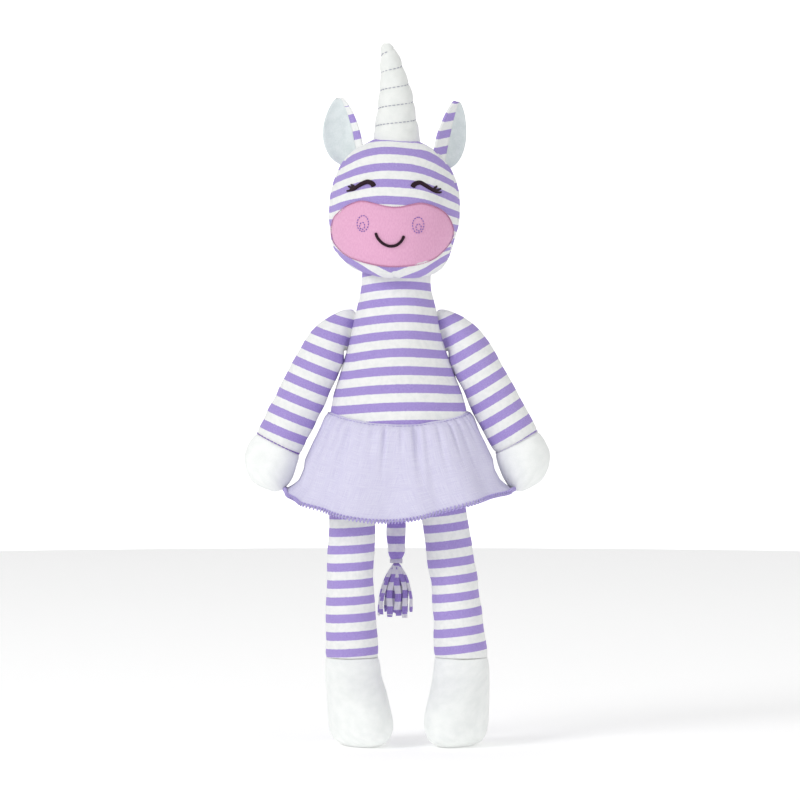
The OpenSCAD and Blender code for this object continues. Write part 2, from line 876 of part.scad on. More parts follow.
head_front();
head_back_left();
head_back_right();
head_stuffing();
muzzle_patch();
eye_left();
eye_right();
nostril_left();
nostril_right();
mouth();
horn_cover();
horn_stuffing();
horn_thread();
ear_left_outer();
ear_left_lining();
ear_right_outer();
ear_right_lining();
neck_cover();
neck_stuffing();
torso_front();
torso_back();
torso_stuffing();
skirt();
skirt_hem();
skirt_gather();
arm_left_tab();
arm_left_sleeve();
arm_left_hand();
arm_left_stuffing();
arm_left_thread();
arm_right_tab();
arm_right_sleeve();
arm_right_hand();
arm_right_stuffing();
arm_right_thread();
leg_left_tab();
leg_left_tube();
leg_left_foot();
leg_left_stuffing();
leg_right_tab();
leg_right_tube();
leg_right_foot();
leg_right_stuffing();
tail_tube();
tail_stuffing();
tail_tie();
tail_tassel();
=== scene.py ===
"""Plush unicorn doll: sewn covers, fillings, embroidery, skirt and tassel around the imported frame."""
import math

import bpy
import numpy as np
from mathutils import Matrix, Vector


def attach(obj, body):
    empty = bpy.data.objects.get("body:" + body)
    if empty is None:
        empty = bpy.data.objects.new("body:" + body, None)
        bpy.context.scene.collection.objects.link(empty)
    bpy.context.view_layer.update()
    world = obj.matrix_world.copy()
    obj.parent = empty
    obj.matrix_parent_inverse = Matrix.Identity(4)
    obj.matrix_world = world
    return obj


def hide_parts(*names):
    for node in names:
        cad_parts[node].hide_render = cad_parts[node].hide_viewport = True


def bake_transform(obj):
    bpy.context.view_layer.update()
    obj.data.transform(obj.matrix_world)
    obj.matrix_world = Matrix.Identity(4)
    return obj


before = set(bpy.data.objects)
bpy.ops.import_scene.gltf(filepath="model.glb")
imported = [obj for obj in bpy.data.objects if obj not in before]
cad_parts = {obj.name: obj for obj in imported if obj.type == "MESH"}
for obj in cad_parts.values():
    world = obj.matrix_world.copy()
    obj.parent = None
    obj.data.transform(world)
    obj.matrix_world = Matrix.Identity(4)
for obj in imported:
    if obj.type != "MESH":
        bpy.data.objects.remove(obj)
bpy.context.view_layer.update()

MM = 0.001

# ---------------------------------------------------------------- shapes, in millimetres
HEAD_TILT = math.radians(2.5)
NECK = (0.4, 262.0)
SHOULDER_Z = 234.0
# along the arm, from the shoulder
WRIST_Z = -69.0
ARM_PIVOT = {-1: -36.2, 1: 36.8}
ARM_ANGLE = {-1: math.radians(26.5), 1: math.radians(-28.0)}
HIP_Z = 137.5
ANKLE_Z = 50.0
TOE_IN = 22.0
LEG_LINE = {1: (37.6, 33.8, 26.8), -1: (-24.8, -26.2, -24.2)}
FOOT_LEAN = {1: -1.2, -1: 1.2}
TAIL = (0.4, 27.3)
TIE_Z = 103.0
TAIL_PITCH = 9.2
COVER = 0.9
THREAD_TIP = 0.45

# rings: height, centre x, centre y, half-width, half-depth, shear
HEAD = [
    [276.0, 0.0, 0.0, 20.6, 20.6, 0.12],
    [273.6, -0.5, -3.5, 24.2, 25.5, 0.24],
    [277.5, -2.0, -5.0, 30.1, 33.0, 0.20],
    [283.5, -3.2, -6.0, 33.5, 37.0, 0.14],
    [290.5, -3.3, -6.5, 35.3, 39.0, 0.09],
    [298.5, -3.0, -6.0, 36.8, 39.8, 0.05],
    [307.0, -2.8, -4.5, 37.2, 38.8, 0.02],
    [316.0, -2.8, -3.0, 36.5, 36.6, 0.0],
    [325.0, -3.0, -2.0, 33.9, 33.4, 0.0],
    [333.0, -3.2, -2.0, 29.4, 28.7, 0.0],
    [340.0, -3.3, -2.5, 22.3, 21.9, 0.0],
    [345.3, -3.3, -3.0, 12.6, 12.6, 0.0],
]
HORN = [
    [342.8, -3.2, -2.9, 13.3, 13.3, 0.0],
    [346.0, -3.3, -3.0, 13.1, 13.1, 0.0],
    [351.0, -3.6, -3.2, 12.6, 12.6, 0.0],
    [362.0, -4.3, -3.6, 10.9, 10.9, 0.0],
    [372.0, -5.0, -4.0, 9.5, 9.5, 0.0],
    [382.0, -6.8, -4.4, 7.6, 7.6, 0.0],
    [391.0, -8.9, -4.8, 5.8, 5.8, 0.0],
    [397.0, -10.5, -5.0, 4.2, 4.2, 0.0],
    [400.0, -11.3, -5.0, 1.7, 1.7, 0.0],
]
TORSO = [
    [152.0, 1.5, 0.0, 11.8, 6.9, 0.0],
    [153.6, 1.5, 0.0, 24.3, 13.9, 0.0],
    [158.0, 1.8, 0.0, 34.1, 19.5, 0.0],
    [166.0, 2.0, 0.0, 39.2, 26.8, 0.0],
    [177.0, 2.2, 0.0, 40.6, 31.3, 0.0],
    [190.0, 2.1, 0.0, 39.0, 31.3, 0.0],
    [200.0, 1.6, 0.0, 36.8, 30.4, 0.0],
    [210.0, 0.9, 0.0, 33.3, 28.9, 0.0],
    [220.0, 0.5, 0.0, 29.9, 27.0, 0.0],
    [230.0, 0.3, 0.0, 27.2, 24.8, 0.0],
    [239.0, 0.3, 0.0, 25.0, 22.9, 0.0],
    [248.0, 0.3, 0.0, 23.0, 21.5, 0.0],
    [256.0, 0.3, 0.0, 21.2, 20.5, 0.0],
    [263.0, 0.4, 0.0, 20.2, 20.0, 0.0],
    [271.0, 0.8, 0.0, 20.0, 20.0, 0.0],
    [281.0, 1.2, 0.0, 19.8, 19.8, 0.0],
]
HAND = [
    [-96.0, 3.4, 0.0, 2.0, 2.0, 0.0],
    [-94.8, 3.1, 0.0, 7.4, 6.6, 0.0],
    [-90.5, 2.2, 0.0, 12.4, 11.0, 0.0],
    [-84.0, 0.8, 0.0, 15.0, 12.9, 0.0],
    [-76.5, 0.2, 0.0, 15.1, 13.2, 0.0],
    [-69.0, 0.0, 0.0, 13.8, 12.8, 0.0],
]
SLEEVE = [
    [-69.0, 0.0, 0.0, 13.8, 12.8, 0.0],
    [-60.0, 0.0, 0.0, 13.9, 12.9, 0.0],
    [-50.0, 0.0, 0.0, 14.0, 13.0, 0.0],
    [-32.0, 0.0, 0.0, 13.5, 12.8, 0.0],
    [-18.0, 0.0, 0.0, 13.0, 12.5, 0.0],
    [-10.0, 0.0, 0.0, 12.6, 12.2, 0.0],
]
# the sleeve's end fans over the shoulder to its seam: outer x, z, armpit x, z, half-depth
SHOULDER = [
    [-12.6, -10.0, 12.6, -10.0, 12.2],
    [-11.6, -3.3, 11.6, -8.2, 11.8],
    [-9.2, 3.4, 10.9, -6.8, 10.8],
    [-5.8, 9.5, 10.4, -5.8, 9.2],
    [-1.4, 15.4, 10.2, -5.0, 6.6],
    [3.4, 18.6, 10.6, -4.4, 3.6],
    [6.4, 17.6, 13.0, -3.8, 2.0],
]
LEG = [
    [50.0, 15.2, 14.4], [60.0, 14.9, 14.1], [74.0, 14.1, 13.6], [92.0, 13.5, 13.2],
    [108.0, 13.5, 13.1], [126.0, 13.2, 13.0], [137.5, 13.0, 13.0], [143.2, 11.7, 11.7],
    [147.6, 8.3, 8.3], [150.1, 3.4, 3.4],
]
# height, half-width and half-depth of the flat fold between seat and leg
HIP_FOLD = [
    [142.5, 10.6, 8.0], [146.0, 10.4, 6.0], [150.0, 10.2, 4.6], [154.0, 10.4, 4.6], [158.0, 10.4, 5.0],
]
FOOT = [
    [0.0, 0.0, -9.0, 6.5, 13.0, 0.0],
    [0.7, 0.0, -9.2, 9.8, 17.6, 0.0],
    [3.0, 0.0, -10.0, 13.4, 22.2, 0.0],
    [7.0, 0.0, -10.6, 15.8, 25.2, 0.0],
    [13.0, 0.0, -11.0, 17.2, 26.3, 0.0],
    [22.0, 0.0, -10.0, 17.3, 25.2, 0.0],
    [31.0, 0.0, -7.0, 16.9, 21.8, 0.0],
    [40.0, 0.0, -3.0, 16.1, 17.6, 0.0],
    [50.0, 0.0, 0.0, 15.2, 14.4, 0.0],
]
TAIL_TUBE = [
    [103.6, 0.4, 27.3, 2.9, 2.9, 0.0], [108.5, 0.4, 27.3, 4.7, 4.7, 0.0],
    [118.0, 0.4, 27.3, 5.4, 5.4, 0.0], [144.0, 0.4, 27.3, 5.3, 5.3, 0.0],
    [158.0, 0.4, 27.3, 5.3, 5.3, 0.0], [162.0, 0.4, 27.3, 3.4, 3.4, 0.0],
]

# heights of the lilac stripes' middles, in stripe order
HEAD_STRIPES = [354.4, 346.1, 339.6, 330.1, 320.9, 311.4, 301.8, 291.8, 282.2]
TORSO_STRIPES = [263.1, 253.9, 244.6, 235.0, 225.0, 214.9, 204.8, 194.5, 184.6]
LEG_STRIPES = {
    -1: [122.3, 112.3, 102.3, 92.6, 82.9, 73.1, 62.9, 53.4],
    1: [133.7, 124.9, 114.9, 104.9, 95.1, 85.1, 75.4, 65.1, 55.4],
}
SLEEVE_LAST = {-1: -61.6, 1: -61.0}
SLEEVE_PERIOD = 10.2


def smooth(rows, n):
    """n rows on a smooth curve through the stations."""
    rows = np.array(rows, float)
    u = np.linspace(0, len(rows) - 1, n)
    i = np.minimum(u.astype(int), len(rows) - 2)
    t = (u - i)[:, None]
    a, b = rows[np.maximum(i - 1, 0)], rows[i]
    c, d = rows[i + 1], rows[np.minimum(i + 2, len(rows) - 1)]
    square, cube = 2 * a - 5 * b + 4 * c - d, 3 * b - a - 3 * c + d
    return 0.5 * (2 * b + (c - a) * t + square * t**2 + cube * t**3)


def rings(rows, angles):
    """The grid of points of the rings at the angles, in degrees."""
    a = np.radians(angles)[None, :]
    z, cx, cy, rx, ry, shear = (rows[:, k:k + 1] for k in range(6))
    return np.stack([cx + rx * np.cos(a), cy + ry * np.sin(a), z + shear * ry * np.sin(a)], -1)


def grid_normals(p, closed):
    """Outward normals of a grid with rows going up and columns counter-clockwise."""
    du = np.gradient(p, axis=0)
    dv = np.gradient(p, axis=1)
    if closed:
        dv[:, 0] = dv[:, -1] = (p[:, 1] - p[:, -2]) / 2
    n = np.cross(dv, du)
    return n / np.maximum(np.linalg.norm(n, axis=-1, keepdims=True), 1e-9)


def lump(p, scale, seed):
    """Smooth unevenness from -1 to 1, with hollows about scale mm apart."""
    rng = np.random.default_rng(seed)
    total = np.zeros(p.shape[:-1])
    for _ in range(7):
        way = rng.normal(size=3)
        way *= rng.uniform(0.7, 1.5) / np.linalg.norm(way)
        total += np.sin(p @ way * 2 * math.pi / scale + rng.uniform(0, 2 * math.pi))
    return total / 4


def bell(gap, width):
    """1 where the gap is 0, falling smoothly to 0 over a few widths: the section of a sunken seam."""
    return np.exp(-((gap / width) ** 2))


def stripe_index(values, centres):
    """Stripe number at each value: whole numbers at the centres, carried on evenly past both ends."""
    c = np.array(centres, float)
    k = np.arange(len(c), dtype=float)
    top, low = c[0] - c[1], c[-2] - c[-1]
    out = np.interp(values, c[::-1], k[::-1])
    out = np.where(values > c[0], -(values - c[0]) / top, out)
    return np.where(values < c[-1], k[-1] + (c[-1] - values) / low, out)


def lengths(p, axis):
    """Running length along a grid's axis."""
    step = np.linalg.norm(np.diff(p, axis=axis), axis=-1)
    return np.concatenate([np.zeros_like(np.take(step, [0], axis)), np.cumsum(step, axis)], axis)


def cloth_map(p, stripe=0.0):
    """Across, along and stripe number for each grid point."""
    across = lengths(p, 1)
    across -= across[:, across.shape[1] // 2][:, None]
    return np.stack([across, lengths(p, 0), np.broadcast_to(stripe, across.shape)], -1)


def place_head(p):
    x, z = p[..., 0], p[..., 2] - NECK[1]
    c, s = math.cos(HEAD_TILT), math.sin(HEAD_TILT)
    return np.stack([NECK[0] + x * c + z * s, p[..., 1], NECK[1] - x * s + z * c], -1)


def place_arm(p, side):
    c, s = math.cos(ARM_ANGLE[side]), math.sin(ARM_ANGLE[side])
    x, z = -side * p[..., 0], p[..., 2]
    return np.stack([ARM_PIVOT[side] + x * c + z * s, p[..., 1], SHOULDER_Z - x * s + z * c], -1)


# ---------------------------------------------------------------- meshes
def raw_mesh(name, points, faces, cloth, material):
    """An object from points in mm; cloth holds one vector per face corner."""
    mesh = bpy.data.meshes.new(name)
    mesh.from_pydata((np.asarray(points) * MM).tolist(), [], faces)
    mesh.polygons.foreach_set("use_smooth", np.ones(len(mesh.polygons), bool))
    layer = mesh.attributes.new("cloth", "FLOAT_VECTOR", "CORNER")
    layer.data.foreach_set("vector", np.asarray(cloth, np.float32).ravel())
    mesh.materials.append(material)
    obj = bpy.data.objects.new(name, mesh)
    bpy.context.scene.collection.objects.link(obj)
    return obj


def grid_mesh(name, p, cloth, material, closed=False, flip=False, caps=(False, False), thick=COVER):
    """A cloth piece from a grid. closed joins the last column, which repeats the first."""
    rows, cols = p.shape[:2]
    n = cols - 1 if closed else cols
    points = list(p[:, :n].reshape(-1, 3))
    faces, corners = [], []

    def add(face, coords):
        faces.append(face[::-1] if flip else face)
        corners.extend(coords[::-1] if flip else coords)

    for i in range(rows - 1):
        for j in range(cols - 1):
            k = (j + 1) % n
            add(
                [i * n + j, i * n + k, (i + 1) * n + k, (i + 1) * n + j],
                [cloth[i, j], cloth[i, j + 1], cloth[i + 1, j + 1], cloth[i + 1, j]],
            )
    for row, wanted in ((0, caps[0]), (rows - 1, caps[1])):
        if not wanted:
            continue
        points.append(p[row, :n].mean(axis=0))
        middle = cloth[row].mean(axis=0)
        for j in range(cols - 1):
            a, b = row * n + j, row * n + (j + 1) % n
            face, coords = [len(points) - 1, b, a], [middle, cloth[row, j + 1], cloth[row, j]]
            add(face if row == 0 else face[::-1], coords if row == 0 else coords[::-1])
    obj = raw_mesh(name, points, faces, corners, material)
    if thick:
        solid = obj.modifiers.new("thickness", "SOLIDIFY")
        solid.thickness = thick * MM
        solid.offset = -1
    return obj


def run_along(path):
    """Running length at each point of a path."""
    return np.concatenate([[0], np.cumsum(np.linalg.norm(np.diff(path, axis=0), axis=1))])


def tubes(name, paths, radius, material, facing=(0, 1, 0), flat=1.0, sides=6, taper=True):
    """Threads along paths in mm: radius is one number, or one per point. flat squeezes them along facing."""
    points, faces, corners = [], [], []
    for path in paths:
        path = np.asarray(path, float)
        m = len(path)
        r = np.broadcast_to(np.asarray(radius, float), (m,)).copy()
        if taper:
            r[0] *= THREAD_TIP
            r[-1] *= THREAD_TIP
        tangent = np.gradient(path, axis=0)
        tangent /= np.maximum(np.linalg.norm(tangent, axis=1, keepdims=True), 1e-9)
        toward = np.broadcast_to(np.asarray(facing, float), path.shape)
        side = np.cross(tangent, toward)
        side /= np.maximum(np.linalg.norm(side, axis=1, keepdims=True), 1e-9)
        out = np.cross(side, tangent)
        at = len(points)
        run = run_along(path)
        for i in range(m):
            for k in range(sides):
                a = 2 * math.pi * k / sides
                points.append(path[i] + r[i] * (math.cos(a) * side[i] + flat * math.sin(a) * out[i]))
        for i in range(m - 1):
            for k in range(sides):
                a, b = at + i * sides + k, at + i * sides + (k + 1) % sides
                faces.append([a, b, b + sides, a + sides])
                low, high = run[i], run[i + 1]
                corners += [[k, low, 0], [k + 1, low, 0], [k + 1, high, 0], [k, high, 0]]
        faces.append([at + k for k in range(sides)][::-1])
        faces.append([at + (m - 1) * sides + k for k in range(sides)])
        corners += [[k, run[0], 0] for k in range(sides)][::-1]
        corners += [[k, run[-1], 0] for k in range(sides)]
    return raw_mesh(name, points, faces, corners, material)


def resample(path, step):
    """The path as evenly spaced points, about step mm apart."""
    path = np.asarray(path, float)
    run = run_along(path)
    at = np.linspace(0, run[-1], max(int(round(run[-1] / step)) + 1, 3))
    return np.stack([np.interp(at, run, path[:, k]) for k in range(3)], 1)


def dashes(path, dash, gap, step=0.35):
    """The path cut into stitches."""
    fine = resample(path, step)
    on, off = max(int(round(dash / step)), 2), max(int(round(gap / step)), 1)
    return [fine[i:i + on + 1] for i in range(0, len(fine) - on, on + off)]


# ---------------------------------------------------------------- materials
def linear(red, green, blue):
    c = np.array([red, green, blue]) / 255
    return (*np.where(c <= 0.04045, c / 12.92, ((c + 0.055) / 1.055) ** 2.4).tolist(), 1.0)


class Shader:
    """A material being built; its methods pass node sockets around as values."""

    def __init__(self, name, roughness, sheen, tint=(1, 1, 1, 1)):
        self.mat = bpy.data.materials.new(name)
        self.mat.use_nodes = True
        self.tree = self.mat.node_tree
        self.bsdf = self.tree.nodes["Principled BSDF"]
        self.bsdf.inputs["Roughness"].default_value = roughness
        self.bsdf.inputs["Sheen Weight"].default_value = sheen
        self.bsdf.inputs["Sheen Roughness"].default_value = 0.45
        self.bsdf.inputs["Sheen Tint"].default_value = tint
        self.bsdf.inputs["Specular IOR Level"].default_value = 0.2
        cloth = self.node("Attribute", {}, attribute_name="cloth").outputs["Vector"]
        self.cloth = cloth
        parts = self.node("SeparateXYZ", {0: cloth}).outputs
        self.across, self.along, self.stripe = parts[0], parts[1], parts[2]

    def node(self, kind, inputs, **settings):
        n = self.tree.nodes.new("ShaderNode" + kind)
        for key, value in settings.items():
            setattr(n, key, value)
        for key, value in inputs.items():
            if isinstance(value, bpy.types.NodeSocket):
                self.tree.links.new(value, n.inputs[key])
            else:
                n.inputs[key].default_value = value
        return n

    def math(self, operation, a, b=0.0, c=0.0):
        return self.node("Math", {0: a, 1: b, 2: c}, operation=operation).outputs[0]

    def spread(self, value, low, high, to_low=0.0, to_high=1.0):
        inputs = {"Value": value, "From Min": low, "From Max": high, "To Min": to_low, "To Max": to_high}
        return self.node("MapRange", inputs, interpolation_type="SMOOTHSTEP").outputs[0]

    def noise(self, scale, detail=2.0, stretch=(1, 1, 1)):
        """Noise over the cloth; scale is in patches per mm."""
        v = self.node("VectorMath", {0: self.cloth, 1: stretch}, operation="MULTIPLY").outputs[0]
        return self.node("TexNoise", {"Vector": v, "Scale": scale, "Detail": detail}).outputs["Fac"]

    def mix(self, factor, a, b):
        n = self.node("Mix", {}, data_type="RGBA")
        for key, value in ((0, factor), (6, a), (7, b)):
            if isinstance(value, bpy.types.NodeSocket):
                self.tree.links.new(value, n.inputs[key])
            else:
                n.inputs[key].default_value = value
        return n.outputs[2]

    def finish(self, colour, height, strength, depth):
        """depth is the height of the relief in mm."""
        self.tree.links.new(colour, self.bsdf.inputs["Base Color"])
        bump = self.node("Bump", {"Height": height, "Strength": strength, "Distance": depth * MM})
        self.tree.links.new(bump.outputs[0], self.bsdf.inputs["Normal"])
        return self.mat


def knit(s, wale, course):
    """Height of plain knitting: columns of small Vs."""
    column = s.math("MULTIPLY", s.across, 1 / wale)
    ridge = s.math("ABSOLUTE", s.math("SINE", s.math("MULTIPLY", column, math.pi)))
    slant = s.math("MULTIPLY", s.math("PINGPONG", column, 0.5), 1.1)
    row = s.math("ADD", s.math("MULTIPLY", s.along, 1 / course), slant)
    loop = s.math("MULTIPLY_ADD", s.math("COSINE", s.math("MULTIPLY", row, 2 * math.pi)), 0.3, 0.7)
    return s.math("MULTIPLY", ridge, loop)


def jersey(name, lilac, lilac_light, white, white_dark, duty=0.247):
    s = Shader(name, 0.88, 0.22, linear(240, 236, 250))
    ragged = s.math("MULTIPLY_ADD", s.noise(1.1, 1.0, (1, 0.25, 0)), 0.05, -0.025)
    edge = s.math("PINGPONG", s.math("ADD", s.stripe, ragged), 0.5)
    mask = s.spread(edge, duty - 0.012, duty + 0.012, 1.0, 0.0)
    heather = s.spread(s.noise(2.6, 3.0), 0.35, 0.7)
    dyed = s.mix(heather, linear(*lilac), linear(*lilac_light))
    undyed = s.mix(s.spread(s.noise(0.35, 3.0), 0.3, 0.75), linear(*white), linear(*white_dark))
    height = s.math("ADD", knit(s, 0.85, 0.62), s.math("MULTIPLY", s.noise(3.0, 2.0), 0.5))
    return s.finish(s.mix(mask, undyed, dyed), height, 0.45, 0.16)


def plush(name, colour, shade, pile=0.6, sheen=0.35):
    s = Shader(name, 0.95, sheen)
    tuft = s.noise(1.0 / pile, 4.0)
    patch = s.noise(0.16, 2.0)
    height = s.math("ADD", s.math("MULTIPLY", tuft, 0.7), s.math("MULTIPLY", patch, 0.8))
    tone = s.math("ADD", s.math("MULTIPLY", tuft, 0.4), s.math("MULTIPLY", patch, 0.6))
    return s.finish(s.mix(s.spread(tone, 0.35, 0.65), linear(*shade), linear(*colour)), height, 0.35, 0.3)


def plain_knit(name, colour, shade):
    s = Shader(name, 0.86, 0.25, linear(255, 235, 245))
    tone = s.mix(s.spread(s.noise(1.7, 4.0, (1, 0.35, 1)), 0.3, 0.7), linear(*colour), linear(*shade))
    height = s.math("ADD", knit(s, 0.6, 0.45), s.math("MULTIPLY", s.noise(2.4, 3.0), 0.8))
    return s.finish(tone, height, 0.3, 0.12)


def chambray(name, warp, weft):
    """Plain weave: coloured threads one way and pale threads the other."""
    s = Shader(name, 0.8, 0.2, linear(235, 230, 255))
    pitch = math.pi / 0.42
    wave = s.math(
        "MULTIPLY",
        s.math("SINE", s.math("MULTIPLY", s.across, pitch)),
        s.math("SINE", s.math("MULTIPLY", s.along, pitch)),
    )
    slub = s.noise(0.9, 3.0, (4.0, 0.12, 1))
    slub_across = s.noise(0.9, 3.0, (0.12, 4.0, 1))
    tone = s.math("ADD", s.math("MULTIPLY", slub, 0.5), s.math("MULTIPLY", slub_across, 0.5))
    tone = s.math("ADD", tone, s.math("MULTIPLY", wave, 0.1))
    height = s.math("ADD", s.math("MULTIPLY", wave, 0.5), s.math("MULTIPLY", tone, 0.6))
    return s.finish(s.mix(s.spread(tone, 0.22, 0.78), linear(*warp), linear(*weft)), height, 0.3, 0.1)


def thread(name, colour, light, pitch=0.45, sheen=0.15):
    """Twisted thread, with slanting plies. Its colour follows the plies' relief: a painted highlight on each
    ply's crest, painted shade in the groove between plies.
    """
    s = Shader(name, 0.6, sheen)
    ply = s.math("ADD", s.math("MULTIPLY", s.along, 1 / pitch), s.math("MULTIPLY", s.across, 0.5))
    wave = s.math("SINE", s.math("MULTIPLY", ply, 2 * math.pi))
    # painted light: the tone rises and falls with the ply relief, lighter on the crests and darker in the
    # grooves
    tone = s.spread(wave, -1.0, 1.0)
    return s.finish(s.mix(tone, linear(*colour), linear(*light)), wave, 0.5, 0.12)


JERSEY = jersey("striped_jersey", (157, 137, 206), (180, 163, 220), (243, 244, 242), (234, 236, 235))
TASSEL = jersey("tassel_jersey", (152, 128, 208), (178, 158, 223), (243, 242, 246), (232, 229, 240))
PLUSH = plush("white_plush", (248, 250, 248), (240, 243, 241))
HORN_CLOTH = plush("horn_cotton", (240, 242, 239), (232, 235, 232), pile=0.4, sheen=0.25)
# the ear lining is the same white plush as the hands and feet, made greyer here: painted shade of the ear's
# hollow
SHADED_LINING = plush("ear_lining", (224, 231, 232), (212, 221, 222), pile=0.8)
PINK = plain_knit("pink_jersey", (232, 178, 208), (224, 165, 199))
COTTON = chambray("lavender_cotton", (200, 195, 225), (227, 226, 242))
# each thread's second colour is its painted highlight, laid on the ply crests
DARK = thread("dark_thread", (18, 2, 12), (44, 10, 32), pitch=0.8, sheen=0.05)
PURPLE = thread("purple_thread", (122, 84, 178), (158, 122, 206))
ROSE = thread("rose_thread", (212, 136, 186), (232, 172, 208))
GREY = thread("grey_thread", (146, 147, 164), (184, 186, 200))
PALE = thread("pale_thread", (204, 198, 222), (230, 226, 240))
HEM_YARN = thread("hem_yarn", (168, 152, 220), (204, 192, 238))
SKIRT_YARN = thread("skirt_yarn", (170, 158, 216), (200, 192, 232))
FIBRE = plush("fibrefill", (238, 236, 230), (218, 215, 206), pile=2.2, sheen=0.5)


def settle(obj, body, slot, *nodes, fill=None):
    """Puts a finished piece on its body, for its CAD nodes."""
    if body:
        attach(obj, body)
    if nodes:
        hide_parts(*nodes)
    return obj


def filling(name, p, node, body, inset=2.4, seed=1, flip=False):
    """Lumpy fibre inside a cover's grid."""
    n = grid_normals(p, True)
    if flip:
        n = -n
    inner = p - n * (inset + 0.5 * (1 + lump(p, 14, seed)))[..., None]
    inner[:, -1] = inner[:, 0]
    obj = grid_mesh(name, inner, cloth_map(inner), FIBRE, True, flip, (True, True), 0)
    return settle(obj, body, "fibrefill", node, fill=0.8)


# ---------------------------------------------------------------- head
head_rows = smooth(HEAD, 96)
front_rows = head_rows[np.argmin(head_rows[:, 0]):]
FRONT = 270.0
# the seams between front and back run this many degrees in front of the head's two sides
EAR_LINE = 11.25
CHIN_Z, CROWN_Z = 284, 345
HEAD_PITCH, CHIN_PITCH = 9.4, 9.6
# how far the stripes sag to the side of the head, in mm, and the share of it at each height
ARCH_DROP = 13.5
ARCH_SHARE = ([298, 312, 322, 334], [0.38, 0.52, 0.64, 0.95])


def head_ring(t):
    """Ring values at the ring heights t, over the part of the head above its lowest ring."""
    return np.stack([np.interp(t, front_rows[:, 0], front_rows[:, k]) for k in range(6)], -1)


def on_head(angle, t):
    r = head_ring(t)
    c, s = np.cos(np.radians(angle)), np.sin(np.radians(angle))
    return np.stack([r[..., 1] + r[..., 3] * c, r[..., 2] + r[..., 4] * s, t + r[..., 5] * r[..., 4] * s], -1)


def head_normal(angle, t):
    sideways = on_head(angle + 1, t) - on_head(angle - 1, t)
    upward = on_head(angle, t + 0.5) - on_head(angle, t - 0.5)
    n = np.cross(sideways, upward)
    return n / np.linalg.norm(n, axis=-1, keepdims=True)


def face_place(x, z):
    """Angle and ring height of the face at x and z."""
    x, z = np.asarray(x, float), np.asarray(z, float)
    t = z.copy()
    for _ in range(8):
        r = head_ring(t)
        c = np.clip((x - r[..., 1]) / r[..., 3], -0.985, 0.985)
        angle = -np.degrees(np.arccos(c))
        t = np.clip(z - r[..., 5] * r[..., 4] * np.sin(np.radians(angle)), front_rows[0, 0], CROWN_Z)
    return angle + 360, t


def face_path(points, lift, step=0.4):
    """A line of embroidery through (x, z) points on the face, and its outward directions."""
    rows = np.array([[x, z, 0] for x, z in points], float)
    line = resample(smooth(rows, 12 * len(rows)), step)
    angle, t = face_place(line[:, 0], line[:, 1])
    out = head_normal(angle, t)
    return place_head(on_head(angle, t) + lift * out), out


def head_stripe(p, front):
    """Stripe number over the head: arches over the crown, and a V under the chin."""
    z = rings(head_rows, np.array([FRONT]))[:, 0]
    run = lengths(z[:, None], 0)[:, 0]
    low = int(np.argmin(z[:, 2]))
    index = stripe_index(z[:, 2], HEAD_STRIPES)
    index[:low] = index[low] + (run[low] - run[:low]) / CHIN_PITCH
    x = p[..., 0] + 3
    share = np.interp(p[..., 2], *ARCH_SHARE)
    arch = ARCH_DROP * share * np.abs(x / 33) ** 2.6 / HEAD_PITCH
    if not front:
        return index[:, None] - arch
    v = 0.43 * np.abs(x) / CHIN_PITCH
    high = np.clip((head_rows[:, 0] - CHIN_Z) / 12, 0, 1)[:, None]
    high = np.where(np.arange(len(head_rows))[:, None] < low, 0, high)
    return index[:, None] - arch * high + v * (1 - high)


def head_panel(name, node, start, end, count, front):
    """A panel of the head, sunken at the seams along both its edges and, in front, at the chin."""
    angles = np.linspace(start, end, count)
    p = rings(head_rows, angles)
    n = grid_normals(p, False)
    radius = head_rows[:, 3:4]
    push = 0.45 * lump(p, 26, 5) + 0.12 * lump(p, 7, 6)
    for seam in (start, end):
        gap = np.radians(np.abs(angles - seam))[None, :] * radius
        push = push - 0.9 * bell(gap, 1.5)
    if front:
        gap = np.radians(np.abs(angles - FRONT))[None, :] * radius
        push = push - 0.8 * bell(gap, 1.1) * (head_rows[:, 0:1] < CHIN_Z)
    q = place_head(p + n * push[..., None])
    obj = grid_mesh(name, q, cloth_map(q, head_stripe(p, front)), JERSEY)
    return settle(obj, "head", "striped_jersey", node, fill=0.85)


head_panel("head_front_panel", "head_front", 180 + EAR_LINE, 360 - EAR_LINE, 128, True)
head_panel("head_back_panel_left", "head_back_left", -EAR_LINE, 90, 76, False)
head_panel("head_back_panel_right", "head_back_right", 90, 180 + EAR_LINE, 76, False)

round_angles = np.linspace(0, 360, 73)
filling("head_filling", place_head(rings(smooth(HEAD, 60), round_angles)), "head_stuffing", "head", 2.6, 11)

# muzzle patch: a leaf of pink jersey inside its outline, turned under at the edge
MUZZLE_EDGE = [
    (-38, 294.4), (-37, 299.7), (-34.8, 302.6), (-30.9, 306.4), (-25.7, 309.2), (-20.5, 310.3),
    (-12.8, 308.9), (-8.4, 308.0), (-3.6, 307.6), (1.4, 308.1), (5.6, 309.3), (12.9, 310.6),
    (21.8, 308.1), (27.2, 304.2), (30.2, 298.6), (30.8, 293.4), (28, 286.8), (20.7, 279.4),
    (10.4, 275.4), (-3.6, 273.9), (-16, 275.1), (-27.9, 278.6), (-35.2, 284.6), (-37.5, 290.0),
]
edge = np.array([[x, z, 0] for x, z in MUZZLE_EDGE + MUZZLE_EDGE[:1]], float)
edge = resample(smooth(edge, 360), 1.3)
edge_angle, edge_t = face_place(edge[:, 0], edge[:, 1])
MUZZLE_MIDDLE = (FRONT, 293.0)


def muzzle_place(share):
    """Angle and height on the patch, at a share of the way from its middle to its edge."""
    return (
        MUZZLE_MIDDLE[0] + share * (edge_angle - MUZZLE_MIDDLE[0]),
        MUZZLE_MIDDLE[1] + share * (edge_t - MUZZLE_MIDDLE[1]),
    )


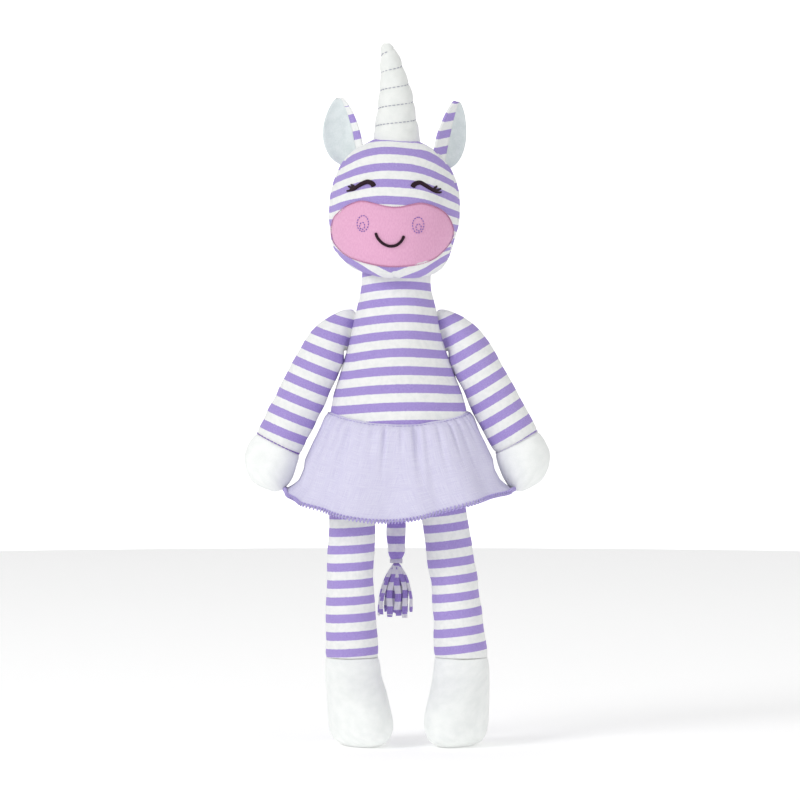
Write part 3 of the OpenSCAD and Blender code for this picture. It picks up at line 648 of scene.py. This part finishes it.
shares = np.sin(np.linspace(0.03, 1, 34) * math.pi / 2)
muzzle = []
for share in shares[::-1]:
    angle, t = muzzle_place(share)
    lift = 0.25 + 0.7 * (1 - share**12) - 0.25 * share**60
    muzzle.append(place_head(on_head(angle, t) + lift * head_normal(angle, t)))
muzzle = np.array(muzzle)
flat = np.stack([muzzle[..., 0], muzzle[..., 2], np.zeros(muzzle.shape[:2])], -1)
settle(
    grid_mesh("muzzle_leaf", muzzle[:, ::-1], flat[:, ::-1], PINK, True, False, (False, True), 0.6),
    "head", "pink_jersey", "muzzle_patch", fill=0.7,
)
stitches = []
inner_angle, inner_t = muzzle_place(0.965)
outer_angle, outer_t = muzzle_place(1.0)
for k in range(0, len(edge) - 1):
    ends = []
    for angle, t, at, lift in (
        (outer_angle, outer_t, k, 0.3), (inner_angle, inner_t, k, 1.15), (outer_angle, outer_t, k + 1, 0.3)
    ):
        ends.append(place_head(on_head(angle[at], t[at]) + lift * head_normal(angle[at], t[at])))
    stitches += [ends[:2], ends[1:]]
settle(tubes("muzzle_edge_stitch", stitches, 0.2, ROSE, sides=4, taper=False), "head", "pink_jersey")

# closed eyes: the lid's arc and three lashes, as x and z on the face, all set lower by EYE_DROP
EYE_DROP = 0.5
EYES = {
    "eye_right": (
        [(-15.0, 319.0), (-15.8, 320.4), (-17.6, 321.3), (-19.4, 321.3), (-22.7, 319.6),
         (-26, 317.2), (-28.4, 316.4)],
        [[(-26.6, 317.0), (-28.6, 316.0), (-30.2, 315.8)],
         [(-26.2, 317.4), (-28, 318), (-29.5, 318.4)],
         [(-25.4, 317.9), (-26.9, 319), (-28, 319.5)]],
    ),
    "eye_left": (
        [(6.7, 319.4), (7.4, 320.9), (9, 321.9), (11.2, 322.1), (14.8, 320.3), (19, 318.0),
         (20.8, 317.6)],
        [[(19.4, 317.9), (21.4, 317.2), (23.2, 317.5)],
         [(19.2, 318.2), (21, 318.6), (22.7, 319.4)],
         [(18.6, 318.7), (19.6, 320), (20.5, 320.8)]],
    ),
}
for node, (lid, lashes) in EYES.items():
    path, out = face_path([(x, z - EYE_DROP) for x, z in lid], 0.35, 0.3)
    run = np.linspace(0, 1, len(path))
    width = 1.45 - 0.45 * run**2
    obj = tubes(node + "_lid", [path], width, DARK, out, 0.75, 10)
    settle(obj, "head", "dark_thread", node)
    for k, lash in enumerate(lashes):
        path, out = face_path([(x, z - EYE_DROP) for x, z in lash], 0.4, 0.3)
        tip = tubes(f"{node}_lash_{k}", [path], np.linspace(0.85, 0.5, len(path)), DARK, out, 0.8, 8)
        settle(tip, "head", "dark_thread")

SMILE = [
    (-12.5, 292.7), (-11.9, 291.0), (-10.7, 289.2), (-8.8, 287.4), (-6.2, 286.1),
    (-3.7, 285.8), (-1.0, 286.5), (1.0, 288.1), (2.2, 289.9), (2.9, 291.8),
]
path, out = face_path(SMILE, 1.45, 0.3)
settle(tubes("mouth_cord", [path], 0.84, DARK, out, 0.85, 10), "head", "dark_thread", "mouth")


def nostril(name, node, x, z, turn):
    """Two dashed turns of stitching, the outer one tall and the inner one small."""
    a = np.linspace(0, 2 * math.pi, 40)
    outer = [(x + 3.1 * math.sin(v), z + 4.3 * math.cos(v)) for v in a]
    inner = [(x + 0.3 * turn + 1.4 * math.sin(v), z - 1.3 + 1.9 * math.cos(v)) for v in a]
    parts = []
    for loop in (outer, inner):
        path, _ = face_path(loop, 1.2, 0.2)
        parts += dashes(path, 0.95, 0.65, 0.2)
    settle(tubes(name, parts, 0.27, PURPLE), "head", "purple_thread", node)


nostril("nostril_left_stitch", "nostril_left", 10.4, 297.9, 1)
nostril("nostril_right_stitch", "nostril_right", -19.8, 297.4, -1)

# horn: a cone quilted by one climbing stitch line
HORN_TURNS = 4.3
HORN_LOW, HORN_HIGH = 352.6, 396.0
PITCH = (HORN_HIGH - HORN_LOW) / HORN_TURNS
horn_rows = smooth(HORN, 120)
horn_angles = np.linspace(0, 360, 65)
p = rings(horn_rows, horn_angles)
line = HORN_LOW + PITCH * ((horn_angles[None, :] - 180) % 360) / 360
gap = (p[..., 2] - line + PITCH / 2) % PITCH - PITCH / 2
inside = (p[..., 2] > line - PITCH / 2) & (p[..., 2] < HORN_HIGH + 2)
groove = np.where(inside, 0.55 * bell(gap, 0.8), 0)
puff = np.where(inside, 0.2 * np.cos(2 * math.pi * gap / PITCH), -0.1)
push = -groove - puff + 0.22 * lump(p, 9, 21)
q = place_head(p + grid_normals(p, True) * push[..., None])
q[:, -1] = q[:, 0]
horn = grid_mesh("horn_cone", q, cloth_map(q), HORN_CLOTH, True, False, (False, True))
settle(horn, "head", "white_plush", "horn_cover", fill=0.9)
horn_core = place_head(rings(smooth(HORN, 50), round_angles))[2:-6]
filling("horn_filling", horn_core, "horn_stuffing", "head", 1.6, 12)
turn = np.linspace(0, HORN_TURNS, 400)
z = HORN_LOW + PITCH * turn
r = np.stack([np.interp(z, horn_rows[:, 0], horn_rows[:, k]) for k in range(6)], 1)
a = math.pi + 2 * math.pi * turn
STITCH_SINK = 0.62
rx, ry = r[:, 3] - STITCH_SINK, r[:, 4] - STITCH_SINK
path = np.stack([r[:, 1] + rx * np.cos(a), r[:, 2] + ry * np.sin(a), z], 1)
stitch = tubes("horn_stitch", dashes(place_head(path), 1.7, 0.7), 0.26, GREY, (0, 0, 1))
settle(stitch, "head", "grey_thread", "horn_thread")


# ---------------------------------------------------------------- ears
def ear(side, x, z, lean, turn, wrap, stripe_z, period):
    """Two leaves sewn together: the striped outer one wraps round the edge nearer the horn."""
    word = "left" if side > 0 else "right"
    f = np.linspace(0, 0.985, 44)[:, None]
    half = 10.8 * np.sin(math.pi * (0.02 + 0.98 * f) ** 0.68) ** 0.58
    inward = -side * (4.6 if side < 0 else 1.0) * (1 - f) ** 3
    lean, turn = math.radians(lean), math.radians(turn)

    def leaf(low, high, count, puff):
        phi = np.radians(np.linspace(low, high, count))[None, :]
        s = -side * np.cos(phi)
        across = half * s
        hollow = 2.6 * (1 - s**2) * np.sin(math.pi * np.clip(f * 0.9 + 0.06, 0, 1)) - 0.2 * half * s**2
        deep = hollow + (1.0 + puff) * np.sin(phi)
        up = 38.0 * f + 0 * s
        px = across * math.cos(turn) - deep * math.sin(turn)
        py = across * math.sin(turn) + deep * math.cos(turn)
        px, pz = px * math.cos(lean) + up * math.sin(lean), up * math.cos(lean) - px * math.sin(lean)
        return np.stack([x + inward + px, 1 + py, z + pz], -1)

    # the lining's greyer colour is painted shade of the ear's hollow
    for name, material, slot, low, high, puff in (
        ("outer", JERSEY, "striped_jersey", -wrap, 180, 0.25),
        ("lining", SHADED_LINING, "ear_lining", 180, 360 - wrap, 0.0),
    ):
        p = leaf(low, high, 34, puff)
        stripe = (p[..., 2] - stripe_z - 0.25 * (p[..., 0] - x)) / period
        stripe = np.where((f > 0.85) & (side < 0), 0.5, stripe)
        q = place_head(p)
        q = q + 0.25 * lump(q, 9, 31)[..., None] * np.array([0.3, 1, 0.2])
        piece = f"ear_{word}_{name}"
        obj = grid_mesh(piece + "_leaf", q, cloth_map(q, stripe), material, flip=side < 0, thick=0.6)
        settle(obj, f"ear_{word}", slot, piece, fill=0.3)


ear(1, 24.0, 331.6, 9, 42, 96, 341.0, 9.2)
ear(-1, -33.6, 330.4, -5, -14, 52, 345.3, 10.1)

# ---------------------------------------------------------------- body
torso_rows = smooth(TORSO, 110)


def torso_stripe(p):
    high = np.clip((p[..., 2] - 195) / 60, 0, 1)
    share = (p[..., 0] - 1) / 30
    drop = (1.4 + 3.6 * high) * np.minimum(np.abs(share), 1.3) ** 2 - 0.9 * share
    return stripe_index(p[..., 2] + drop, TORSO_STRIPES)


def body_panel(name, nodes, start, end):
    angles = np.linspace(start, end, 100)
    p = rings(torso_rows, angles)
    gap = np.radians(np.minimum(angles - start, end - angles))[None, :] * torso_rows[:, 3:4]
    push = 0.5 * lump(p, 30, 41) + 0.12 * lump(p, 8, 42) - 0.9 * bell(gap, 1.5)
    q = p + grid_normals(p, False) * push[..., None]
    obj = grid_mesh(name, q, cloth_map(q, torso_stripe(p)), JERSEY)
    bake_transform(obj)
    return settle(obj, None, "striped_jersey", *nodes, fill=0.85)


body_panel("body_front_panel", ("torso_front", "neck_cover"), 180, 360)
body_panel("body_back_panel", ("torso_back",), 0, 180)
body = rings(torso_rows, round_angles)
filling("torso_filling", body[(torso_rows[:, 0] < 242)], "torso_stuffing", "torso", 2.4, 13)
ball = np.array([[262 + 18 * math.sin(v), 0.4, 0, 18 * math.cos(v), 18 * math.cos(v), 0]
                 for v in np.radians([-80, -64, -48, -32, -16, 0])] + [[279, 1.1, 0, 18, 18, 0]])
filling("neck_filling", rings(smooth(ball, 24), round_angles), "neck_stuffing", "neck", 0.6, 14)


# ---------------------------------------------------------------- arms
def sleeve_grid(angles):
    """The sleeve's rings, from the wrist to its seam at the shoulder, in the arm's own frame."""
    low = rings(smooth(SLEEVE, 60), angles)
    a = np.radians(angles)[None, :]
    fan = smooth(SHOULDER, 44)[1:]
    ox, oz, ix, iz, deep = (fan[:, k:k + 1] for k in range(5))
    along = (1 + np.cos(a)) / 2
    top = np.stack([ox + (ix - ox) * along, deep * np.sin(a), oz + (iz - oz) * along], -1)
    return np.concatenate([low, top])


def arm(side):
    word, flip = ("left", True) if side > 0 else ("right", False)
    angles = np.linspace(0, 360, 61)
    hand_rows = smooth(HAND, 34)
    if side > 0:
        hand_rows[:, 1] += (WRIST_Z - hand_rows[:, 0]) / 24
    sleeve_p, hand_p = sleeve_grid(angles), rings(hand_rows, angles)

    def raised(p, seed, wrist_row, amount):
        n = grid_normals(p, True)
        gap = np.abs(p[..., 2] - p[wrist_row, 0, 2])
        push = amount * lump(p, 18, seed) + 0.1 * lump(p, 6, seed + 1) - 0.7 * bell(gap, 1.4)
        q = p + n * push[..., None]
        q[:, -1] = q[:, 0]
        return place_arm(q, side)

    # stripes lie across the arm, and turn a little with the shoulder
    turn = np.clip((sleeve_p[..., 2] + 30) / 60, 0, 1) ** 2
    level = sleeve_p[..., 2] - 0.2 * turn * sleeve_p[..., 0]
    level = level + (0.06 if side > 0 else -0.07) * sleeve_p[..., 0]
    stripe = (level - SLEEVE_LAST[side]) / SLEEVE_PERIOD
    q = raised(sleeve_p, 50 + side, 0, 0.4)
    sleeve = grid_mesh(f"arm_{word}_sleeve_cloth", q, cloth_map(q, stripe), JERSEY, True, flip)
    root, end = f"arm_{word}_root", f"arm_{word}"
    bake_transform(sleeve)
    settle(sleeve, None, "striped_jersey", f"arm_{word}_sleeve", fill=0.8)

    q = raised(hand_p, 54 + side, -1, 0.3)
    hand = grid_mesh(f"arm_{word}_hand_plush", q, cloth_map(q), PLUSH, True, flip, (True, False))
    settle(hand, end, "white_plush", f"arm_{word}_hand", fill=0.85)

    whole = place_arm(np.concatenate([hand_p[1:-1], sleeve_p[:-8]]), side)
    fibre = filling(f"arm_{word}_filling", whole, f"arm_{word}_stuffing", None, 2.2, 56 + side, flip)
    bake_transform(fibre)

    wrist = np.array([[WRIST_Z, 0, 0, 13.55, 12.55, 0]])
    ring = place_arm(rings(wrist, np.linspace(0, 360, 120))[0], side)
    axis = place_arm(np.array([0.0, 0, 1.0]), side) - place_arm(np.array([0.0, 0, 0.0]), side)
    seam = tubes(f"arm_{word}_wrist_stitch", dashes(ring, 2.0, 0.5), 0.3, PALE if side > 0 else PURPLE, axis)
    settle(seam, end, "purple_thread", f"arm_{word}_thread")

    # seam allowance inside the body, a flat fold of jersey
    inside = np.array([[12.5, 2.6, 1.5], [11.4, 2.6, 1.2], [10.2, 2.4, 0.9]])
    fold = []
    for x, tall, deep in inside:
        a = np.radians(np.linspace(0, 360, 33))
        fold.append(np.stack([x - 3 + 0 * a, deep * np.sin(a), 3.0 + tall * np.cos(a)], -1))
    q = place_arm(np.array(fold), side)
    tab = grid_mesh(
        f"arm_{word}_seam_fold", q, cloth_map(q, 0.5), JERSEY, True, not flip, (True, True), 0
    )
    settle(tab, root, "white_plush", f"arm_{word}_tab")


arm(-1)
arm(1)


# ---------------------------------------------------------------- legs
def leg(side):
    word = "left" if side > 0 else "right"
    ankle_x, knee_x, hip_x = LEG_LINE[side]
    angles = np.linspace(0, 360, 65)
    stations = [
        [z, np.interp(z, [ANKLE_Z, 92, HIP_Z], [ankle_x, knee_x, hip_x]), 0, rx, ry, 0] for z, rx, ry in LEG
    ]
    tube_p = rings(smooth(stations, 110), angles)
    foot_rows = smooth(FOOT, 60)
    up = np.minimum(foot_rows[:, 0:1] / ANKLE_Z, 1) ** 2
    twist = side * TOE_IN * (1 - up)
    a = np.radians(angles[None, :] + twist)
    px = foot_rows[:, 1:2] + foot_rows[:, 3:4] * np.cos(a)
    py = foot_rows[:, 2:3] + foot_rows[:, 4:5] * np.sin(a)
    t = np.radians(-twist)
    foot_p = np.stack([
        px * np.cos(t) - py * np.sin(t) + ankle_x - side * FOOT_LEAN[side] * (1 - up),
        px * np.sin(t) + py * np.cos(t),
        foot_rows[:, 0:1] + 0 * px,
    ], -1)

    def raised(p, seed, amount, seam_z):
        gap = np.abs(p[..., 2] - seam_z)
        push = amount * lump(p, 22, seed) + 0.1 * lump(p, 7, seed + 1) - 0.45 * bell(gap, 1.5)
        push = push * np.clip(p[..., 2] / 4, 0, 1)
        q = p + grid_normals(p, True) * push[..., None]
        q[:, -1] = q[:, 0]
        return q

    slope = 0.12 if side > 0 else 0.06
    level = tube_p[..., 2] - slope * (tube_p[..., 0] - tube_p[:, :-1, 0].mean(axis=1)[:, None])
    q = raised(tube_p, 60 + side, 0.35, ANKLE_Z)
    cloth = cloth_map(q, stripe_index(level, LEG_STRIPES[side]))
    tube = grid_mesh(f"leg_{word}_tube_cloth", q, cloth, JERSEY, True, False, (False, True))
    settle(tube, f"leg_{word}", "striped_jersey", f"leg_{word}_tube", fill=0.85)
    q = raised(foot_p, 64 + side, 0.4, ANKLE_Z)
    foot = grid_mesh(f"leg_{word}_foot_plush", q, cloth_map(q), PLUSH, True, False, (True, False))
    settle(foot, f"leg_{word}", "white_plush", f"leg_{word}_foot", fill=0.85)
    whole = np.concatenate([foot_p[3:-1], tube_p[:-12]])
    filling(f"leg_{word}_filling", whole, f"leg_{word}_stuffing", f"leg_{word}", 2.3, 66 + side)

    # the flat fold that the leg hangs on
    a = np.radians(np.linspace(0, 360, 41))
    fold = [
        np.stack([hip_x + wide * np.cos(a), deep * np.sin(a), z + 0 * a], -1)
        for z, wide, deep in HIP_FOLD
    ]
    q = np.array(fold)
    cloth = cloth_map(q, (q[..., 2] - 133.7) / 9.9)
    tab = grid_mesh(f"leg_{word}_hip_fold", q, cloth, JERSEY, True, False, (True, True), 0)
    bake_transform(tab)
    settle(tab, None, "white_plush", f"leg_{word}_tab")


leg(-1)
leg(1)

# ---------------------------------------------------------------- skirt
SKIRT_ROWS, HALF_COLS = 64, 220
SKIRT_X = 2.1
# half-width, half-depth and height
WAIST_RX, WAIST_RY, WAIST_Z = 39.3, 31.7, 184.6
HEM_RX, HEM_RY, HEM_Z = 61.4, 46.0, 130
GATHERS = 36


def pleat(a, seed):
    """Gathers around the waist: narrow creases, uneven in spacing and depth, from -1 to 1."""
    rng = np.random.default_rng(seed)
    places = (np.arange(GATHERS) + rng.uniform(-0.3, 0.3, GATHERS)) * 2 * math.pi / GATHERS
    total = np.zeros_like(a)
    for place in places:
        near = (a - place + math.pi) % (2 * math.pi) - math.pi
        total -= rng.uniform(0.3, 1.2) * np.exp(-((near / rng.uniform(0.022, 0.05)) ** 2))
    return np.maximum(total, -1.0)


def pleat_reach(a, seed):
    """How far down each gather runs, as a share of the skirt's height."""
    return 0.42 + 0.16 * np.sin(5 * a + seed) + 0.12 * np.sin(11 * a + 2 * seed)


# the flare at the two sides, where the arms hang: share of the way down, and share of the full flare
SIDE_W = [0, 0.2, 0.4, 0.62, 0.74, 0.87, 1]
SIDE_FLARE = [0, 0.18, 0.40, 0.62, 0.66, 0.78, 0.98]


def skirt_point(f, a, out=0.0):
    """f runs from the hem to the waist, a goes round in radians."""
    w = 1 - f
    side = np.abs(np.cos(a)) ** 4
    flare = (0.92 * w + 0.08 * w**3) * (1 - side) + np.interp(w, SIDE_W, SIDE_FLARE) * side
    uneven = a + 0.11 * np.sin(3 * a + 1.3) + 0.05 * np.sin(5 * a + 0.4)
    fold = 2.1 * w**0.8 * np.cos(13 * uneven) * (0.15 + 0.85 * np.sin(a) ** 2)
    fold = fold + 1.5 * w**0.6 * np.cos(8 * a + 2.2) * np.sin(a) ** 2
    rise = 1 - np.exp(-w / 0.035)
    swell = (4.2 * np.exp(-w / 0.5) * rise) * (1 - 0.35 * side)
    gather = 3.5 * pleat(a, 71) * rise * np.exp(-((w / pleat_reach(a, 1.0)) ** 2)) * (1 - 0.5 * side)
    corner = 1 + 0.1 * np.sqrt(w) * np.sin(2 * a) ** 2
    tip = 4.4 * np.clip((w - 0.86) / 0.14, 0, 1) ** 2 * side
    rx = (WAIST_RX + (HEM_RX - WAIST_RX) * flare + fold) * corner + gather + swell + out + tip
    ry = (WAIST_RY + (HEM_RY - WAIST_RY) * flare + fold) * corner + gather + swell + out
    lift = (a + 0.93 + math.pi) % (2 * math.pi) - math.pi
    hem = HEM_Z + 1.0 * np.sin(a) + 16 * np.cos(a) ** 2 + 5.5 * bell(lift, 0.55)
    waist = WAIST_Z + 6 * np.cos(a) ** 2
    z = hem + (waist - hem) * f
    return np.stack([SKIRT_X + rx * np.cos(a), ry * np.sin(a), z], -1)


def ease(t):
    """0 to 1, slow at both ends."""
    t = np.clip(t, 0, 1)
    return t * t * (3 - 2 * t)


def leg_share(x, y, z, side):
    """A weight over the front of the skirt near a leg: the hem most, the waist, side and middle not at all.
    """
    return 0.5 * ease((160 - z) / 30) * ease((-2 - y) / 26) * ease(side * (x - SKIRT_X) / 11)


def tail_share(x, y, z, side):
    """A weight over the back of the skirt, near the tail under it."""
    return ease((166 - z) / 20) * ease((y - 6) / 28) * ease((34 - np.abs(x - TAIL[0])) / 24)


def skirt_piece(name, start, end, share, side):
    """One part of the gathered ring, from angle to angle, with its overlocked hem and gather stitch; the limb
    share is worked out over its points but not kept.
    """
    cols = round((end - start) / math.pi * HALF_COLS)
    step = (end - start) / cols
    a = (start + step * np.arange(-2, cols + 3))[None, :]
    f = 1 - np.linspace(1, 0, SKIRT_ROWS)[:, None] ** 1.5
    p = skirt_point(f + 0 * a, a + 0 * f)
    p = (p + grid_normals(p, False) * (0.25 * lump(p, 17, 72))[..., None])[:, 2:-2]

    def follow(obj):
        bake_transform(obj)
        x, y, z = np.array([v.co for v in obj.data.vertices], float).T / MM
        share(x, y, z, side).astype(np.float32)

    cloth = grid_mesh(name, p, cloth_map(p), COTTON, thick=0.7)
    ends = np.array([e.vertices[:] for e in cloth.data.edges]) % (cols + 1)
    sharp = (ends == 0).all(1) | (ends == cols).all(1)
    cloth.data.attributes.new("sharp_edge", "BOOLEAN", "EDGE").data.foreach_set("value", sharp)
    follow(cloth)
    settle(cloth, None, "lavender_cotton", "skirt")

    turns = round(105 * (end - start) / math.pi)
    s = np.linspace(0, 1, turns * 8)
    at = start + (end - start) * s
    base = skirt_point(np.zeros_like(at), at)
    out = skirt_point(np.zeros_like(at), at, 1.0) - base
    spin = 2 * math.pi * turns * s
    path = base + out * (0.7 * np.cos(spin))[:, None]
    path[:, 2] += 1.15 * np.sin(spin) + 0.3
    hem = tubes(name + "_overlock", [path], 0.42, HEM_YARN, (0, 0, 1), 1.0, 5)
    follow(hem)
    settle(hem, None, "lavender_cotton", "skirt_hem")

    at = np.linspace(start, end, round(500 * (end - start) / math.pi))
    path = skirt_point(np.full_like(at, 0.985), at, 0.3)
    line = tubes(name + "_gather_stitch", dashes(path, 1.6, 0.8), 0.2, SKIRT_YARN, (0, 0, 1))
    settle(line, "torso", "lavender_cotton", "skirt_gather")


skirt_piece("skirt_front_left", -math.pi / 2, 0, leg_share, 1)
skirt_piece("skirt_front_right", math.pi, 1.5 * math.pi, leg_share, -1)
skirt_piece("skirt_back", 0, math.pi, tail_share, 0)

# ---------------------------------------------------------------- tail
angles = np.linspace(0, 360, 41)
p = rings(smooth(TAIL_TUBE, 60), angles)
q = p + grid_normals(p, True) * (0.3 * lump(p, 9, 81))[..., None]
q[:, -1] = q[:, 0]
cloth = cloth_map(q, (p[..., 2] - 115.4) / TAIL_PITCH)
tail = grid_mesh("tail_cloth", q, cloth, TASSEL, True, False, (False, True), 0.8)
settle(tail, "tail", "striped_jersey", "tail_tube", fill=0.8)
filling("tail_filling", p[8:-6], "tail_stuffing", "tail", 1.4, 82)
a = np.linspace(0, 2 * math.pi * 3, 90)
wound = np.stack([TAIL[0] + 3.2 * np.cos(a), TAIL[1] + 3.2 * np.sin(a), TIE_Z - 1.1 + 2.2 * a / a[-1]], 1)
settle(tubes("tail_tie_thread", [wound], 0.5, PALE, (0, 0, 1), 1, 8), "tail", "lavender_cotton", "tail_tie")

rng = np.random.default_rng(9)
STRIPS = 22
for k in range(STRIPS):
    a = 2 * math.pi * (k + rng.uniform(-0.2, 0.2)) / STRIPS
    reach = 1.0 if k % 2 else 0.62
    ca, sa = math.cos(a), math.sin(a)
    end_z = 70.5 + rng.uniform(0, 5)
    end = np.array([TAIL[0] + 9.6 * reach * ca - 0.6, TAIL[1] + 7.0 * reach * sa, end_z])
    start = np.array([TAIL[0] + 0.9 * ca, TAIL[1] + 0.9 * sa, TIE_Z - 1.2])
    bow = np.array([TAIL[0] + 10.6 * reach * ca, TAIL[1] + 7.0 * reach * sa, 90.0])
    t = np.linspace(0, 1, 26)[:, None]
    spine = (1 - t) ** 2 * start + 2 * t * (1 - t) * bow + t**2 * end
    spine = spine + 0.5 * np.sin(t * 9 + k) * np.array([sa, -ca, 0])
    across = np.array([-sa, ca, 0])
    away = np.array([ca, sa, 0])
    v = np.radians(np.linspace(0, 360, 15))
    wide = (1.0 + 0.9 * np.minimum(t * 4, 1))[:, None]
    curl = 0.5 * np.cos(v)[None, :, None] ** 2
    section = wide * np.cos(v)[None, :, None] * across + (0.55 * np.sin(v)[None, :, None] - curl) * away
    grid = (spine[:, None] + section)[::-1]
    grid[:, -1] = grid[:, 0]
    stripe = (grid[..., 2] - 92.1) / TAIL_PITCH + rng.uniform(-0.22, 0.22)
    cloth = cloth_map(grid, stripe)
    strip = grid_mesh(f"tassel_strip_{k:02d}", grid, cloth, TASSEL, True, False, (True, True), 0)
    settle(strip, "tassel", "tassel_jersey", *(["tail_tassel"] if k == 0 else []))

# ---------------------------------------------------------------- light, floor and camera
def paper(name, glow, profile):
    """A ring of pale paper round the doll, from (radius, height) points in metres."""
    s = Shader(name, 0.9, 0.0)
    s.bsdf.inputs["Emission Color"].default_value = (1, 1, 1, 1)
    s.bsdf.inputs["Emission Strength"].default_value = glow
    tone = s.mix(s.noise(3.0), linear(250, 250, 250), linear(252, 252, 252))
    material = s.finish(tone, s.noise(40.0), 0.02, 0.05)
    a = np.radians(np.linspace(0, 360, 97))
    grid = np.array([np.stack([r * np.cos(a), r * np.sin(a), z + 0 * a], -1) for r, z in profile]) / MM
    obj = grid_mesh(name, grid, grid * MM, material, thick=0)
    return obj


paper("floor", 0.2, [(0.00001, 0.0), (0.4, 0.0), (1.6, 0.0)])
curve = [(3.6 + 0.8 * math.sin(v), 0.8 - 0.8 * math.cos(v)) for v in np.radians(np.arange(0, 91, 10))]
backdrop = paper("backdrop", 0.7, [(1.6, 0.0)] + curve + [(4.4, 4.0)])
backdrop.visible_diffuse = False


def area_light(name, place, size, power, target=(0.0, 0.0, 0.2)):
    data = bpy.data.lights.new(name, "AREA")
    data.shape, data.size, data.energy = "DISK", size, power
    obj = bpy.data.objects.new(name, data)
    obj.location = place
    obj.rotation_mode = "QUATERNION"
    obj.rotation_quaternion = (Vector(target) - Vector(place)).to_track_quat("-Z", "Y")
    bpy.context.scene.collection.objects.link(obj)


area_light("key", (-1.4, -1.3, 1.2), 0.9, 16)
area_light("fill", (1.6, -1.6, 0.6), 1.4, 6.5)
area_light("top", (0.0, 0.3, 2.0), 1.6, 5)

world = bpy.data.worlds.new("studio")
world.use_nodes = True
sky = world.node_tree.nodes["Background"]
sky.inputs["Color"].default_value = (1, 1, 1, 1)
sky.inputs["Strength"].default_value = 0.545
bpy.context.scene.world = world
bpy.context.scene.view_settings.view_transform = "Standard"

CAMERA_LENS, FRAME_HEIGHT, ELEVATION = 250.0, 0.4571, math.radians(2.5)
camera_data = bpy.data.cameras.new("camera")
camera_data.lens = CAMERA_LENS
camera = bpy.data.objects.new("camera", camera_data)
aim = Vector((0.00257, 0.0, 0.1971))
far = FRAME_HEIGHT * CAMERA_LENS / camera_data.sensor_width
camera.location = aim + Vector((0, -math.cos(ELEVATION), math.sin(ELEVATION))) * far
camera.rotation_mode = "QUATERNION"
camera.rotation_quaternion = (aim - camera.location).to_track_quat("-Z", "Y")
bpy.context.scene.collection.objects.link(camera)
bpy.context.scene.camera = camera
